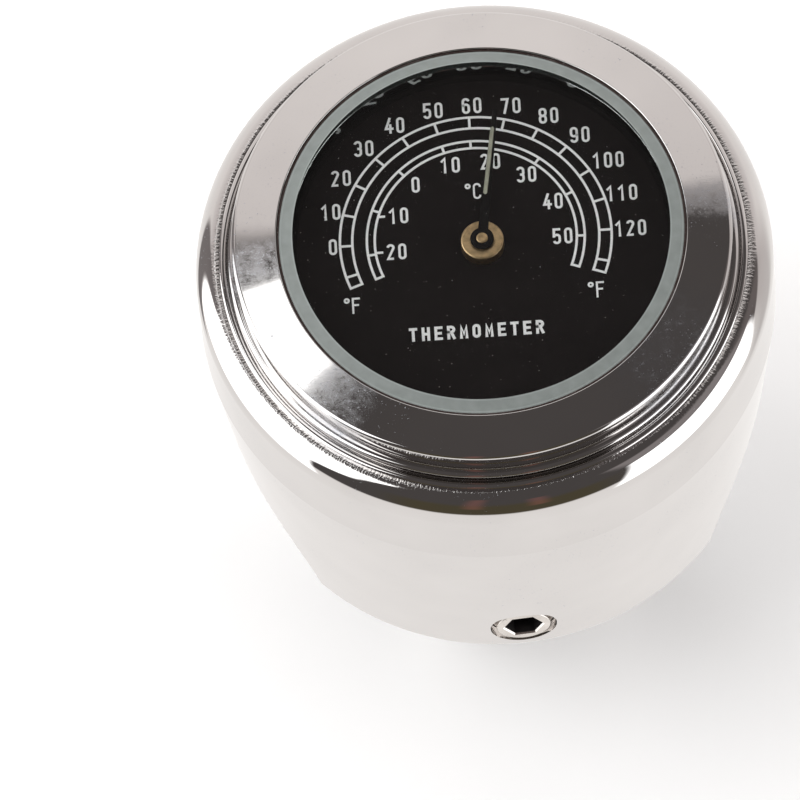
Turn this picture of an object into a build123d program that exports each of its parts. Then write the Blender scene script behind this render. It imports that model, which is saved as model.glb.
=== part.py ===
from build123d import *
from math import cos, radians, sin, sqrt
import os

# Dial thermometer that clamps on a motorcycle handlebar. Units are millimetres.
# The origin is on the handlebar's axis, under the middle of the dial. +X runs along
# the handlebar, +Z points out of the dial and -Y is the side of the set screw.

os.makedirs("parts", exist_ok=True)

# Handlebar, liners and strap
bar_radius = 12.7
bar_clearance = 0.05
pad_thickness = 0.85
pad_width = 15.0
saddle_pad_sweep = 94.0
strap_pad_sweep = 170.0
notch_clearance = 0.3
strap_thickness = 1.2
strap_width = 16.0
strap_side_gap = 0.5
tongue_height = 7.2
tongue_gap = 1.3
tongue_corner = 3.0
pocket_headroom = 0.9

# Hinge pin of the strap
pin_radius = 1.0
pin_clearance = 0.05
pin_height = 4.5
pin_offset = 0.45
pin_bite = 3.0
eye_wall = 1.0
eye_gap = 0.5
slot_headroom = 0.35

# Set screw, M5
screw_radius = 2.5
screw_root_radius = 2.1
screw_clearance = 0.05
screw_length = 4.9
screw_pitch = 0.8
screw_height = 4.7
screw_tip_gap = 0.35
screw_point_radius = 1.25
screw_edge = 0.35
socket_flats = 2.6
socket_depth = 2.2
screw_hole_chamfer = 0.15

# Housing
front_wall = 3.75
floor_thickness = 4.75
rim_height = 1.15
rim_round = 0.35
lip_depth = 3.45
lip_clearance = 0.12
lip_bead_width = 0.6
lip_bead_rise = 0.2
lip_land = 0.18
shoulder_width = 1.7
shoulder_height = 2.38
waist_height = 5.5

# Gauge: the insert that carries the dial
lens_radius = 15.4
lens_thickness = 1.6
lens_bevel_width = 1.05
lens_bevel_drop = 0.3
gasket_thickness = 0.2
gasket_recess = 0.25
air_gap = 1.7
spacer_top_width = 0.9
spacer_lean = 0.35
dial_clearance = 0.1
dial_thickness = 0.4
ledge_width = 2.2
ledge_thickness = 1.6
bezel_width = 3.45
bezel_drop = 0.55
bezel_edge_round = 0.35
bezel_stand = 3.2
foot_bead_width = 0.38
foot_bead_height = 0.5
neck_inset = 0.45
neck_height = 5.4
neck_wall = 2.2
running_gap = 0.08
ring_groove_depth = 0.9
ring_groove_width = 1.2
ring_groove_drop = 3.4
ring_squash_gap = 0.04
can_wall = 0.6
under_bridge_gap = 2.5
seat_gap = 0.05
seat_washer_thickness = 0.5
seat_washer_width = 8.0

# Movement
arbor_radius = 0.45
pivot_radius = 0.3
pivot_clearance = 0.05
bush_flange_radius = 1.65
bush_flange_height = 1.05
bush_body_radius = 1.0
bush_length = 1.6
pointer_lift = 0.1
pointer_thickness = 0.15
pointer_hub_radius = 0.9
pointer_hub_height = 0.22
pointer_length = 11.1
pointer_root_width = 0.8
pointer_tip_width = 0.36
pointer_heading = 79.0
arbor_tip_rise = 0.05
coil_strip = 0.35
coil_height = 2.2
coil_pitch = 1.05
coil_half_turns = 12
coil_clearance = 0.1
coil_top_drop = 1.5
coil_under_gap = 0.45
collet_radius = 1.1
collet_overhang = 0.15
stud_size = 1.2
bridge_width = 5.0
bridge_thickness = 0.6
bridge_edge_gap = 0.3
bridge_screw_radius = 0.6
bridge_screw_head_radius = 0.95
bridge_screw_head_height = 0.8
bridge_screw_bite = 1.2
bearing_radius = 1.2
bearing_rise = 0.6

# Radii around the handlebar
pad_inner = bar_radius + bar_clearance
strap_inner = pad_inner + pad_thickness
strap_outer = strap_inner + strap_thickness
notch_radius = bar_radius + notch_clearance
pocket_half_width = strap_width / 2 + strap_side_gap
front_pocket_depth = strap_outer + tongue_gap
rim_radius = front_pocket_depth + front_wall
pin_y = (strap_inner + strap_outer) / 2 + pin_offset
eye_radius = pin_radius + pin_clearance + eye_wall
rear_pocket_depth = pin_y + eye_radius + eye_gap

# Depths below the top of the lens
dial_depth = lens_thickness + air_gap
ledge_depth = dial_depth + dial_thickness
bezel_foot_depth = bezel_stand + foot_bead_height / 2
neck_depth = bezel_foot_depth + neck_height
ring_depth = bezel_foot_depth + ring_groove_drop
ledge_under_depth = ledge_depth + ledge_thickness
bearing_top_drop = coil_top_drop + coil_height + collet_overhang + coil_under_gap
bridge_drop = bearing_top_drop + bearing_rise + bridge_thickness
gauge_depth = ledge_under_depth + bridge_drop + under_bridge_gap + can_wall
pointer_depth = dial_depth - bush_flange_height - pointer_lift

# Heights above the handlebar's axis
cup_floor = strap_inner + floor_thickness
washer_top = cup_floor + seat_washer_thickness
lens_top = washer_top + seat_gap + gauge_depth
lip_top = lens_top - lip_depth
shoulder_base = lip_top - lip_bead_rise - shoulder_height
waist_base = shoulder_base - waist_height

# Radii around the dial's axis
bezel_bore = lens_radius + gasket_thickness
bezel_radius = bezel_bore + bezel_width
foot_bead_radius = bezel_radius + foot_bead_width
neck_radius = bezel_radius - neck_inset
neck_bore = neck_radius - neck_wall
ledge_bore = bezel_bore - ledge_width
spacer_top_radius = lens_radius - spacer_top_width
spacer_base_radius = spacer_top_radius - spacer_lean
foot_outer = sqrt((neck_bore - can_wall - bridge_edge_gap) ** 2 - (bridge_width / 2) ** 2)
screw_pitch_radius = (ledge_bore + foot_outer) / 2
cup_radius = neck_radius + running_gap
lip_bore = foot_bead_radius + lip_clearance
lip_radius = lip_bore + lip_bead_width
body_radius = lip_radius + lip_land + shoulder_width


# ---------------------------------------------------------------- housing

with BuildPart() as housing:
    with BuildSketch(Plane.XZ):
        with BuildLine():
            Polyline((0, lip_top - lip_bead_rise), (0, rim_height), (rim_radius, rim_height))
            Line((rim_radius, rim_height), (body_radius, waist_base))
            Line((body_radius, waist_base), (body_radius, shoulder_base))
            shoulder = EllipticalCenterArc(
                (lip_radius + lip_land, shoulder_base), shoulder_width, shoulder_height, 0, arc_size=90
            )
            Line(shoulder @ 1, (lip_radius, lip_top - lip_bead_rise))
            ThreePointArc(
                (lip_radius, lip_top - lip_bead_rise),
                (lip_bore + lip_bead_width / 2, lip_top),
                (lip_bore, lip_top - lip_bead_rise),
            )
            Line((lip_bore, lip_top - lip_bead_rise), (0, lip_top - lip_bead_rise))
        make_face()
    revolve(axis=Axis.Z)
    fillet(housing.edges().filter_by(GeomType.CIRCLE).group_by(Axis.Z)[0], rim_round)
    # Cup for the gauge, with a shallow recess for the bead at the bezel's foot
    with BuildSketch(Plane.XY.offset(cup_floor)):
        Circle(cup_radius)
    extrude(until=Until.LAST, mode=Mode.SUBTRACT)
    with BuildSketch(Plane.XY.offset(lens_top - bezel_foot_depth - running_gap)):
        Circle(lip_bore)
    extrude(amount=lip_depth, mode=Mode.SUBTRACT)
    # Half-round notch for the handlebar, and the wider seat of its liner
    with BuildSketch(Plane.YZ):
        Circle(notch_radius)
    extrude(amount=body_radius, both=True, mode=Mode.SUBTRACT)
    with BuildSketch(Plane.YZ):
        with BuildLine():
            seat_start = 90 - saddle_pad_sweep / 2
            CenterArc((0, 0), strap_inner, seat_start, saddle_pad_sweep)
            Line((0, 0), PolarLine((0, 0), strap_inner, seat_start) @ 1)
            Line((0, 0), PolarLine((0, 0), strap_inner, seat_start + saddle_pad_sweep) @ 1)
        make_face()
    extrude(amount=pad_width / 2, both=True, mode=Mode.SUBTRACT)
    # Front pocket for the strap's tongue
    with BuildSketch(Plane.YZ):
        with BuildLine():
            front_top = tongue_height + pocket_headroom
            Polyline(
                (0, 0), (-front_pocket_depth, 0), (-front_pocket_depth, front_top), (-bar_radius / 2, front_top),
                (0, 0),
            )
        make_face()
    extrude(amount=pocket_half_width, both=True, mode=Mode.SUBTRACT)
    # Rear pocket for the strap's eye, and the slot that the open strap swings into
    with BuildSketch(Plane.YZ):
        with BuildLine():
            rear_top = pin_height + eye_radius + eye_gap
            Polyline(
                (0, 0), (rear_pocket_depth, 0), (rear_pocket_depth, rear_top), (bar_radius / 2, rear_top), (0, 0),
            )
        make_face()
    extrude(amount=pocket_half_width, both=True, mode=Mode.SUBTRACT)
    with BuildSketch(Plane.YZ):
        with BuildLine():
            slot_top = pin_height + strap_outer - pin_y + slot_headroom
            Polyline((pin_y, 0), (2 * body_radius, 0), (2 * body_radius, slot_top), (pin_y, slot_top), close=True)
        make_face()
    extrude(amount=pocket_half_width, both=True, mode=Mode.SUBTRACT)
    # Hole for the hinge pin, drilled from the right flank and blind in the left ear
    with BuildSketch(Plane.YZ.offset(-pocket_half_width - pin_bite)):
        with Locations((pin_y, pin_height)):
            Circle(pin_radius)
    extrude(amount=pocket_half_width + pin_bite + body_radius, mode=Mode.SUBTRACT)
    # Hole for the set screw
    with BuildSketch(Plane.XZ):
        with Locations((0, screw_height)):
            Circle(screw_radius + screw_clearance)
    extrude(amount=body_radius, mode=Mode.SUBTRACT)

wall_slope = (body_radius - rim_radius) / (waist_base - rim_height)
wall_at_screw = rim_radius + wall_slope * (screw_height - rim_height)

# Countersink at the mouth of the set screw's hole
with BuildPart() as screw_mouth:
    with BuildSketch(Plane.XZ.offset(wall_at_screw - screw_hole_chamfer)):
        with Locations((0, screw_height)):
            Circle(screw_radius + screw_clearance)
    with BuildSketch(Plane.XZ.offset(wall_at_screw + screw_hole_chamfer)):
        with Locations((0, screw_height)):
            Circle(screw_radius + screw_clearance + 2 * screw_hole_chamfer)
    loft()

with housing:
    add(screw_mouth.part, mode=Mode.SUBTRACT)

housing.part.label = "housing"
export_step(housing.part, "parts/housing.step")


# ---------------------------------------------------------------- clamp

with BuildPart() as saddle_pad:
    with BuildSketch(Plane.YZ):
        with BuildLine():
            outer_arc = CenterArc((0, 0), strap_inner, seat_start, saddle_pad_sweep)
            inner_arc = CenterArc((0, 0), pad_inner, seat_start, saddle_pad_sweep)
            Line(outer_arc @ 0, inner_arc @ 0)
            Line(outer_arc @ 1, inner_arc @ 1)
        make_face()
    extrude(amount=pad_width / 2, both=True)

saddle_pad.part.label = "saddle_pad"
export_step(saddle_pad.part, "parts/saddle_pad.step")

with BuildPart() as strap_pad:
    with BuildSketch(Plane.YZ):
        with BuildLine():
            liner_start = 270 - strap_pad_sweep / 2
            outer_arc = CenterArc((0, 0), strap_inner, liner_start, strap_pad_sweep)
            inner_arc = CenterArc((0, 0), pad_inner, liner_start, strap_pad_sweep)
            Line(outer_arc @ 0, inner_arc @ 0)
            Line(outer_arc @ 1, inner_arc @ 1)
        make_face()
    extrude(amount=pad_width / 2, both=True)

strap_pad.part.label = "strap_pad"
export_step(strap_pad.part, "parts/strap_pad.step")

with BuildPart() as clamp_strap:
    with BuildSketch(Plane.YZ):
        # Half ring under the bar, with the tongue rising at the front
        with BuildLine():
            outer_arc = CenterArc((0, 0), strap_outer, 180, 180)
            inner_arc = CenterArc((0, 0), strap_inner, 180, 180)
            Polyline(
                outer_arc @ 0, (-strap_outer, tongue_height), (-strap_inner, tongue_height), inner_arc @ 0,
            )
            Polyline(
                outer_arc @ 1, (strap_outer, pin_height), (strap_inner, pin_height), inner_arc @ 1,
            )
        make_face()
        with Locations((pin_y, pin_height)):
            Circle(eye_radius)
            Circle(pin_radius + pin_clearance, mode=Mode.SUBTRACT)
    extrude(amount=strap_width / 2, both=True)
    tongue_edges = clamp_strap.edges().filter_by(Axis.Y).group_by(Axis.Z)[-1].group_by(Axis.Y)[0]
    fillet(tongue_edges, tongue_corner)

clamp_strap.part.label = "clamp_strap"
export_step(clamp_strap.part, "parts/clamp_strap.step")

with BuildPart() as strap_pin:
    with BuildSketch(Plane.YZ.offset(-pocket_half_width - pin_bite)):
        with Locations((pin_y, pin_height)):
            Circle(pin_radius)
    extrude(amount=2 * (pocket_half_width + pin_bite))
    chamfer(strap_pin.edges().filter_by(GeomType.CIRCLE), pin_radius / 5)

strap_pin.part.label = "strap_pin"
export_step(strap_pin.part, "parts/strap_pin.step")

# Set screw: plain ridges stand for its thread
screw_tip = strap_outer + screw_tip_gap
screw_head = screw_tip + screw_length
ridge_count = int((screw_length - 2 * screw_edge) / screw_pitch)

with BuildPart() as set_screw:
    with BuildSketch(Plane.XY.offset(screw_height)):
        with BuildLine():
            Polyline((0, -screw_tip), (screw_point_radius, -screw_tip), (screw_root_radius, -screw_tip - screw_edge))
            for ridge in range(ridge_count):
                foot = screw_tip + screw_edge + ridge * screw_pitch
                crest = foot + screw_pitch / 2
                Polyline(
                    (screw_root_radius, -foot),
                    (screw_radius, -crest + screw_pitch / 8),
                    (screw_radius, -crest - screw_pitch / 8),
                    (screw_root_radius, -foot - screw_pitch),
                )
            Polyline(
                (screw_root_radius, -screw_tip - screw_edge - ridge_count * screw_pitch),
                (screw_root_radius, -screw_head + screw_edge / 2),
                (screw_root_radius - screw_edge / 2, -screw_head),
                (0, -screw_head),
                (0, -screw_tip),
            )
        make_face()
    revolve(axis=Axis((0, 0, screw_height), (0, 1, 0)))
    with BuildSketch(Plane.XZ.offset(screw_head - socket_depth)):
        with Locations((0, screw_height)):
            RegularPolygon(socket_flats / 2, 6, major_radius=False)
    extrude(amount=2 * socket_depth, mode=Mode.SUBTRACT)

set_screw.part.label = "set_screw"
export_step(set_screw.part, "parts/set_screw.step")

with BuildPart() as seat_washer:
    with BuildSketch(Plane.XY.offset(cup_floor)):
        Circle(neck_bore)
        Circle(neck_bore - seat_washer_width, mode=Mode.SUBTRACT)
    extrude(amount=seat_washer_thickness)

seat_washer.part.label = "seat_washer"
export_step(seat_washer.part, "parts/seat_washer.step")


# ---------------------------------------------------------------- gauge shell

with BuildPart() as bezel:
    with BuildSketch(Plane.XZ):
        with BuildLine():
            face_inner = (bezel_bore, lens_top - bezel_edge_round / 3)
            face_outer = (bezel_radius - bezel_edge_round, lens_top - bezel_drop)
            side_top = (bezel_radius, lens_top - bezel_drop - bezel_edge_round)
            bead_top = (bezel_radius, lens_top - bezel_stand + foot_bead_height / 2)
            bead_crest = (foot_bead_radius, lens_top - bezel_stand)
            bead_foot = (bezel_radius, lens_top - bezel_foot_depth)
            groove_top = lens_top - ring_depth + ring_groove_width / 2
            groove_foot = groove_top - ring_groove_width
            groove_radius = neck_radius - ring_groove_depth
            Line(face_inner, face_outer)
            RadiusArc(face_outer, side_top, -bezel_edge_round)
            Line(side_top, bead_top)
            ThreePointArc(bead_top, bead_crest, bead_foot)
            Polyline(
                bead_foot,
                (neck_radius, lens_top - bezel_foot_depth),
                (neck_radius, groove_top),
                (groove_radius, groove_top),
                (groove_radius, groove_foot),
                (neck_radius, groove_foot),
                (neck_radius, lens_top - neck_depth),
                (neck_bore, lens_top - neck_depth),
                (neck_bore, lens_top - ledge_under_depth),
                (ledge_bore, lens_top - ledge_under_depth),
                (ledge_bore, lens_top - ledge_depth),
                (bezel_bore, lens_top - ledge_depth),
                face_inner,
            )
        make_face()
    revolve(axis=Axis.Z)
    # Tapped holes for the bridge screws, in the underside of the ledge
    with BuildSketch(Plane.XY.offset(lens_top - ledge_under_depth)):
        with GridLocations(2 * screw_pitch_radius, 0, 2, 1):
            Circle(bridge_screw_radius)
    extrude(amount=bridge_screw_bite, mode=Mode.SUBTRACT)

bezel.part.label = "bezel"
export_step(bezel.part, "parts/bezel.step")

# Lens: flat glass with a wide, shallow ground bevel round its top
with BuildPart() as lens:
    with BuildSketch(Plane.XZ):
        with BuildLine():
            Polyline(
                (0, lens_top),
                (0, lens_top - lens_thickness),
                (lens_radius, lens_top - lens_thickness),
                (lens_radius, lens_top - lens_bevel_drop),
                (lens_radius - lens_bevel_width, lens_top),
                close=True,
            )
        make_face()
    revolve(axis=Axis.Z)

lens.part.label = "lens"
export_step(lens.part, "parts/lens.step")

with BuildPart() as lens_gasket:
    with BuildSketch(Plane.XY.offset(lens_top - lens_thickness)):
        Circle(bezel_bore)
        Circle(lens_radius, mode=Mode.SUBTRACT)
    extrude(amount=lens_thickness - gasket_recess)

lens_gasket.part.label = "lens_gasket"
export_step(lens_gasket.part, "parts/lens_gasket.step")

with BuildPart() as spacer_ring:
    with BuildSketch(Plane.XZ):
        with BuildLine():
            Polyline(
                (bezel_bore, lens_top - lens_thickness),
                (bezel_bore, lens_top - dial_depth),
                (spacer_base_radius, lens_top - dial_depth),
                (spacer_top_radius, lens_top - lens_thickness),
                close=True,
            )
        make_face()
    revolve(axis=Axis.Z)

spacer_ring.part.label = "spacer_ring"
export_step(spacer_ring.part, "parts/spacer_ring.step")

with BuildPart() as dial_plate:
    with BuildSketch(Plane.XY.offset(lens_top - ledge_depth)):
        Circle(bezel_bore - dial_clearance)
        Circle(bush_body_radius, mode=Mode.SUBTRACT)
    extrude(amount=dial_thickness)

dial_plate.part.label = "dial_plate"
export_step(dial_plate.part, "parts/dial_plate.step")

with BuildPart() as back_can:
    with BuildSketch(Plane.XZ):
        with BuildLine():
            spigot_top = lens_top - ledge_under_depth - bridge_edge_gap
            can_top = lens_top - neck_depth
            can_foot = lens_top - gauge_depth
            Polyline(
                (0, can_foot),
                (neck_radius, can_foot),
                (neck_radius, can_top),
                (neck_bore, can_top),
                (neck_bore, spigot_top),
                (neck_bore - can_wall, spigot_top),
                (neck_bore - can_wall, can_top - can_wall),
                (neck_radius - can_wall, can_top - can_wall),
                (neck_radius - can_wall, can_foot + can_wall),
                (0, can_foot + can_wall),
                close=True,
            )
        make_face()
    revolve(axis=Axis.Z)
    fillet(back_can.edges().filter_by(GeomType.CIRCLE).group_by(Axis.Z)[0], can_wall)

back_can.part.label = "back_can"
export_step(back_can.part, "parts/back_can.step")

with BuildPart() as gauge_o_ring:
    ring_section = (ring_groove_depth + running_gap - ring_squash_gap) / 2
    with BuildSketch(Plane.XZ):
        with Locations((groove_radius + ring_section, lens_top - ring_depth)):
            Circle(ring_section)
    revolve(axis=Axis.Z)

gauge_o_ring.part.label = "gauge_o_ring"
export_step(gauge_o_ring.part, "parts/gauge_o_ring.step")


# ---------------------------------------------------------------- movement

# Bridge under the dial: two feet on the ledge, two legs and a crossbar
leg_outer = ledge_bore - bridge_thickness
bridge_top = lens_top - ledge_under_depth
bar_under = bridge_top - bridge_drop

with BuildPart() as bridge:
    with BuildSketch(Plane.XZ):
        with BuildLine():
            Polyline(
                (0, bar_under),
                (leg_outer, bar_under),
                (leg_outer, bridge_top - bridge_thickness),
                (foot_outer, bridge_top - bridge_thickness),
                (foot_outer, bridge_top),
                (leg_outer - bridge_thickness, bridge_top),
                (leg_outer - bridge_thickness, bar_under + bridge_thickness),
                (0, bar_under + bridge_thickness),
                close=True,
            )
        make_face()
        mirror(about=Plane.YZ)
    extrude(amount=bridge_width / 2, both=True)
    with BuildSketch(Plane.XY.offset(bar_under)):
        with GridLocations(2 * screw_pitch_radius, 0, 2, 1):
            Circle(bridge_screw_radius)
        Circle(bearing_radius)
    extrude(amount=2 * bridge_drop, mode=Mode.SUBTRACT)

bridge.part.label = "bridge"
export_step(bridge.part, "parts/bridge.step")

with BuildPart() as bridge_screws:
    with BuildSketch(Plane.XY.offset(bridge_top - bridge_thickness - bridge_screw_head_height)):
        with GridLocations(2 * screw_pitch_radius, 0, 2, 1):
            Circle(bridge_screw_head_radius)
            Rectangle(2 * bridge_screw_head_radius, bridge_thickness / 2, mode=Mode.SUBTRACT)
    extrude(amount=bridge_screw_head_height / 2)
    with BuildSketch(Plane.XY.offset(bridge_top - bridge_thickness - bridge_screw_head_height / 2)):
        with GridLocations(2 * screw_pitch_radius, 0, 2, 1):
            Circle(bridge_screw_head_radius)
    extrude(amount=bridge_screw_head_height / 2)
    with BuildSketch(Plane.XY.offset(bridge_top - bridge_thickness)):
        with GridLocations(2 * screw_pitch_radius, 0, 2, 1):
            Circle(bridge_screw_radius)
    extrude(amount=bridge_thickness + bridge_screw_bite)

bridge_screws.part.label = "bridge_screws"
export_step(bridge_screws.part, "parts/bridge_screws.step")

with BuildPart() as bridge_bearing:
    with BuildSketch(Plane.XY.offset(bar_under)):
        Circle(bearing_radius)
        Circle(pivot_radius + pivot_clearance, mode=Mode.SUBTRACT)
    extrude(amount=bridge_thickness + bearing_rise)

bridge_bearing.part.label = "bridge_bearing"
export_step(bridge_bearing.part, "parts/bridge_bearing.step")

# Bush in the dial: a domed flange above and a body through the plate
with BuildPart() as arbor_bush:
    with BuildSketch(Plane.XZ):
        with BuildLine():
            bush_bore = arbor_radius + pivot_clearance
            dial_top = lens_top - dial_depth
            flange_top = dial_top + bush_flange_height
            flange_arc = ThreePointArc(
                (bush_flange_radius, dial_top + bush_flange_height / 4),
                (bush_flange_radius * 0.85, dial_top + bush_flange_height * 0.8),
                (bush_flange_radius * 0.6, flange_top),
            )
            Polyline(
                flange_arc @ 1,
                (bush_bore, flange_top),
                (bush_bore, dial_top - bush_length),
                (bush_body_radius, dial_top - bush_length),
                (bush_body_radius, dial_top),
                (bush_flange_radius, dial_top),
                flange_arc @ 0,
            )
        make_face()
    revolve(axis=Axis.Z)

arbor_bush.part.label = "arbor_bush"
export_step(arbor_bush.part, "parts/arbor_bush.step")

# Arbor: a thin pivot below and a domed tip above the pointer
pointer_top = lens_top - pointer_depth + pointer_hub_height
pivot_top = bar_under + bridge_thickness + bearing_rise + pivot_clearance

with BuildPart() as arbor:
    with BuildSketch(Plane.XZ):
        with BuildLine():
            tip_shoulder = pointer_top + arbor_tip_rise / 2
            Polyline(
                (0, pointer_top + arbor_tip_rise),
                (0, bar_under),
                (pivot_radius, bar_under),
                (pivot_radius, pivot_top),
                (arbor_radius, pivot_top),
                (arbor_radius, tip_shoulder),
                (arbor_radius / 2, pointer_top + arbor_tip_rise),
                close=True,
            )
        make_face()
    revolve(axis=Axis.Z)

arbor.part.label = "arbor"
export_step(arbor.part, "parts/arbor.step")

pointer_plane = Plane(
    origin=(0, 0, lens_top - pointer_depth),
    x_dir=(cos(radians(pointer_heading)), sin(radians(pointer_heading)), 0),
    z_dir=(0, 0, 1),
)

with BuildPart() as pointer:
    with BuildSketch(pointer_plane):
        with BuildLine():
            Polyline(
                (0, pointer_root_width / 2),
                (pointer_length, pointer_tip_width / 2),
                (pointer_length, -pointer_tip_width / 2),
                (0, -pointer_root_width / 2),
                close=True,
            )
        make_face()
    extrude(amount=pointer_thickness)
    with BuildSketch(pointer_plane):
        Circle(pointer_hub_radius)
    extrude(amount=pointer_hub_height)
    with BuildSketch(pointer_plane):
        Circle(arbor_radius)
    extrude(amount=pointer_hub_height, mode=Mode.SUBTRACT)

pointer.part.label = "pointer"
export_step(pointer.part, "parts/pointer.step")

# Bimetal coil: half turns whose centre steps to and fro, so the radius grows by half a pitch
coil_top = bridge_top - coil_top_drop
coil_start = collet_radius + coil_clearance + coil_strip / 2

with BuildPart() as bimetal_coil:
    with BuildSketch(Plane.XY.offset(coil_top - coil_height)):
        with BuildLine():
            for side in (-1, 1):
                for half_turn in range(coil_half_turns):
                    center_x = (half_turn % 2) * coil_pitch / 2
                    turn_radius = coil_start + half_turn * coil_pitch / 2 + side * coil_strip / 2
                    CenterArc((center_x, 0), turn_radius, 180 * (half_turn % 2), 180)
            coil_end = coil_start + coil_half_turns * coil_pitch / 2
            Line((coil_start - coil_strip / 2, 0), (coil_start + coil_strip / 2, 0))
            Line((coil_end - coil_strip / 2, 0), (coil_end + coil_strip / 2, 0))
        make_face()
    extrude(amount=coil_height)

bimetal_coil.part.label = "bimetal_coil"
export_step(bimetal_coil.part, "parts/bimetal_coil.step")

with BuildPart() as coil_stud:
    with BuildSketch(Plane.XY.offset(bar_under + bridge_thickness)):
        with Locations((coil_end, stud_size / 2)):
            Rectangle(stud_size, stud_size)
    extrude(amount=coil_top - bar_under - bridge_thickness)

coil_stud.part.label = "coil_stud"
export_step(coil_stud.part, "parts/coil_stud.step")

with BuildPart() as coil_collet:
    with BuildSketch(Plane.XY.offset(coil_top - coil_height - collet_overhang)):
        Circle(collet_radius)
        Circle(arbor_radius, mode=Mode.SUBTRACT)
    extrude(amount=coil_height + 2 * collet_overhang)

coil_collet.part.label = "coil_collet"
export_step(coil_collet.part, "parts/coil_collet.step")
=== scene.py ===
import math

import bmesh
import bpy
from mathutils import Matrix, Vector


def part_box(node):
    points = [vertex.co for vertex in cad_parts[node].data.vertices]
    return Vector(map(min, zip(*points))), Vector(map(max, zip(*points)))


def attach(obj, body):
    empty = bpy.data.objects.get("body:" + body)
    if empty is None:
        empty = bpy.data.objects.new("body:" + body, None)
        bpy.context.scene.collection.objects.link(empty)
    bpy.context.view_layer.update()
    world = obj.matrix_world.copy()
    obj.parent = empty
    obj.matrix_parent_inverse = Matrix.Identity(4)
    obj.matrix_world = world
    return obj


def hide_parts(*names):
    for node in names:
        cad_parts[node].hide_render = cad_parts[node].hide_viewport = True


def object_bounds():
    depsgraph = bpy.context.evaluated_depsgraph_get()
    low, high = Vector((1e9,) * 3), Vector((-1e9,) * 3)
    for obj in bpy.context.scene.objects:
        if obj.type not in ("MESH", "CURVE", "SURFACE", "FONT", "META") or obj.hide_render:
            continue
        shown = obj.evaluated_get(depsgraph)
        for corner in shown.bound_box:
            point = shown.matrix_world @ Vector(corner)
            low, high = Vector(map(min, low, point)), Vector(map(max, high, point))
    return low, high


bl_info = {
    "name": "Handlebar Dial Thermometer",
    "version": (1, 0, 0),
    "blender": (4, 5, 0),
    "location": "View3D > Sidebar > Thermometer",
    "description": "Builds the chromed shell, glass, dial and clamp of a thermometer round its fixed frame",
    "category": "Object",
}

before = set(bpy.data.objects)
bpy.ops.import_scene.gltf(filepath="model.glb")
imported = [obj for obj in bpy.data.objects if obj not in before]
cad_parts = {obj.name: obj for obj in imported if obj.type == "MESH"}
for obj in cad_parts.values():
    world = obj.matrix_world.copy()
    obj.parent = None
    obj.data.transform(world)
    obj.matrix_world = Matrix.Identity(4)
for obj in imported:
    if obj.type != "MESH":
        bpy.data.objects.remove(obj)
cad_low, cad_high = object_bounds()

MM = 0.001
SHARP_ANGLE = math.radians(28)

# Sizes shared by several pieces, in millimetres
STRAP_THICKNESS = 1.2
PIN_CLEARANCE = 0.05
BEYOND = 30

# Sectors of the bezel where dust has settled, as (angle, half width) in degrees
DUSTY_SECTORS = ((181, 8), (227, 12), (318, 24), (2, 7))

# Places that the frame gives, in millimetres
LENS_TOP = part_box("lens")[1].z / MM
LENS_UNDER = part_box("lens")[0].z / MM
LENS_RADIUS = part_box("lens")[1].x / MM
GASKET_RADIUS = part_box("lens_gasket")[1].x / MM
DIAL_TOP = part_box("dial_plate")[1].z / MM
HOUSING_RADIUS = -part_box("housing")[0].x / MM
HOUSING_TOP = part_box("housing")[1].z / MM
HOUSING_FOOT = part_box("housing")[0].z / MM
BEAD_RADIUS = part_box("bezel")[1].x / MM
NECK_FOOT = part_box("bezel")[0].z / MM
STRAP_OUTER = -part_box("clamp_strap")[0].z / MM
STRAP_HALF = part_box("clamp_strap")[1].x / MM
TONGUE_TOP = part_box("clamp_strap")[1].z / MM
PAD_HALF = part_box("strap_pad")[1].x / MM
PIN_LOW, PIN_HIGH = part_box("strap_pin")
PIN_Y = (PIN_LOW.y + PIN_HIGH.y) / 2 / MM
PIN_Z = (PIN_LOW.z + PIN_HIGH.z) / 2 / MM
PIN_RADIUS = (PIN_HIGH.z - PIN_LOW.z) / 2 / MM
SCREW_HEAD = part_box("set_screw")[0].y / MM
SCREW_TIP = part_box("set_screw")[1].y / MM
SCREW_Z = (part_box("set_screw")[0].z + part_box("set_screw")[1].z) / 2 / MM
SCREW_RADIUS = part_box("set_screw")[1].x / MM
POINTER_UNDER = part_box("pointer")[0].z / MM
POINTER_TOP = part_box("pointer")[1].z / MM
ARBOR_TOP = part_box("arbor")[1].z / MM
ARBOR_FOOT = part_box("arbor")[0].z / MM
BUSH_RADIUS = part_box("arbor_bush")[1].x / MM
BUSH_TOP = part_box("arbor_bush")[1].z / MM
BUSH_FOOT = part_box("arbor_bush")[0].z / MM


# ------------------------------------------------------------------ settings

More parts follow.
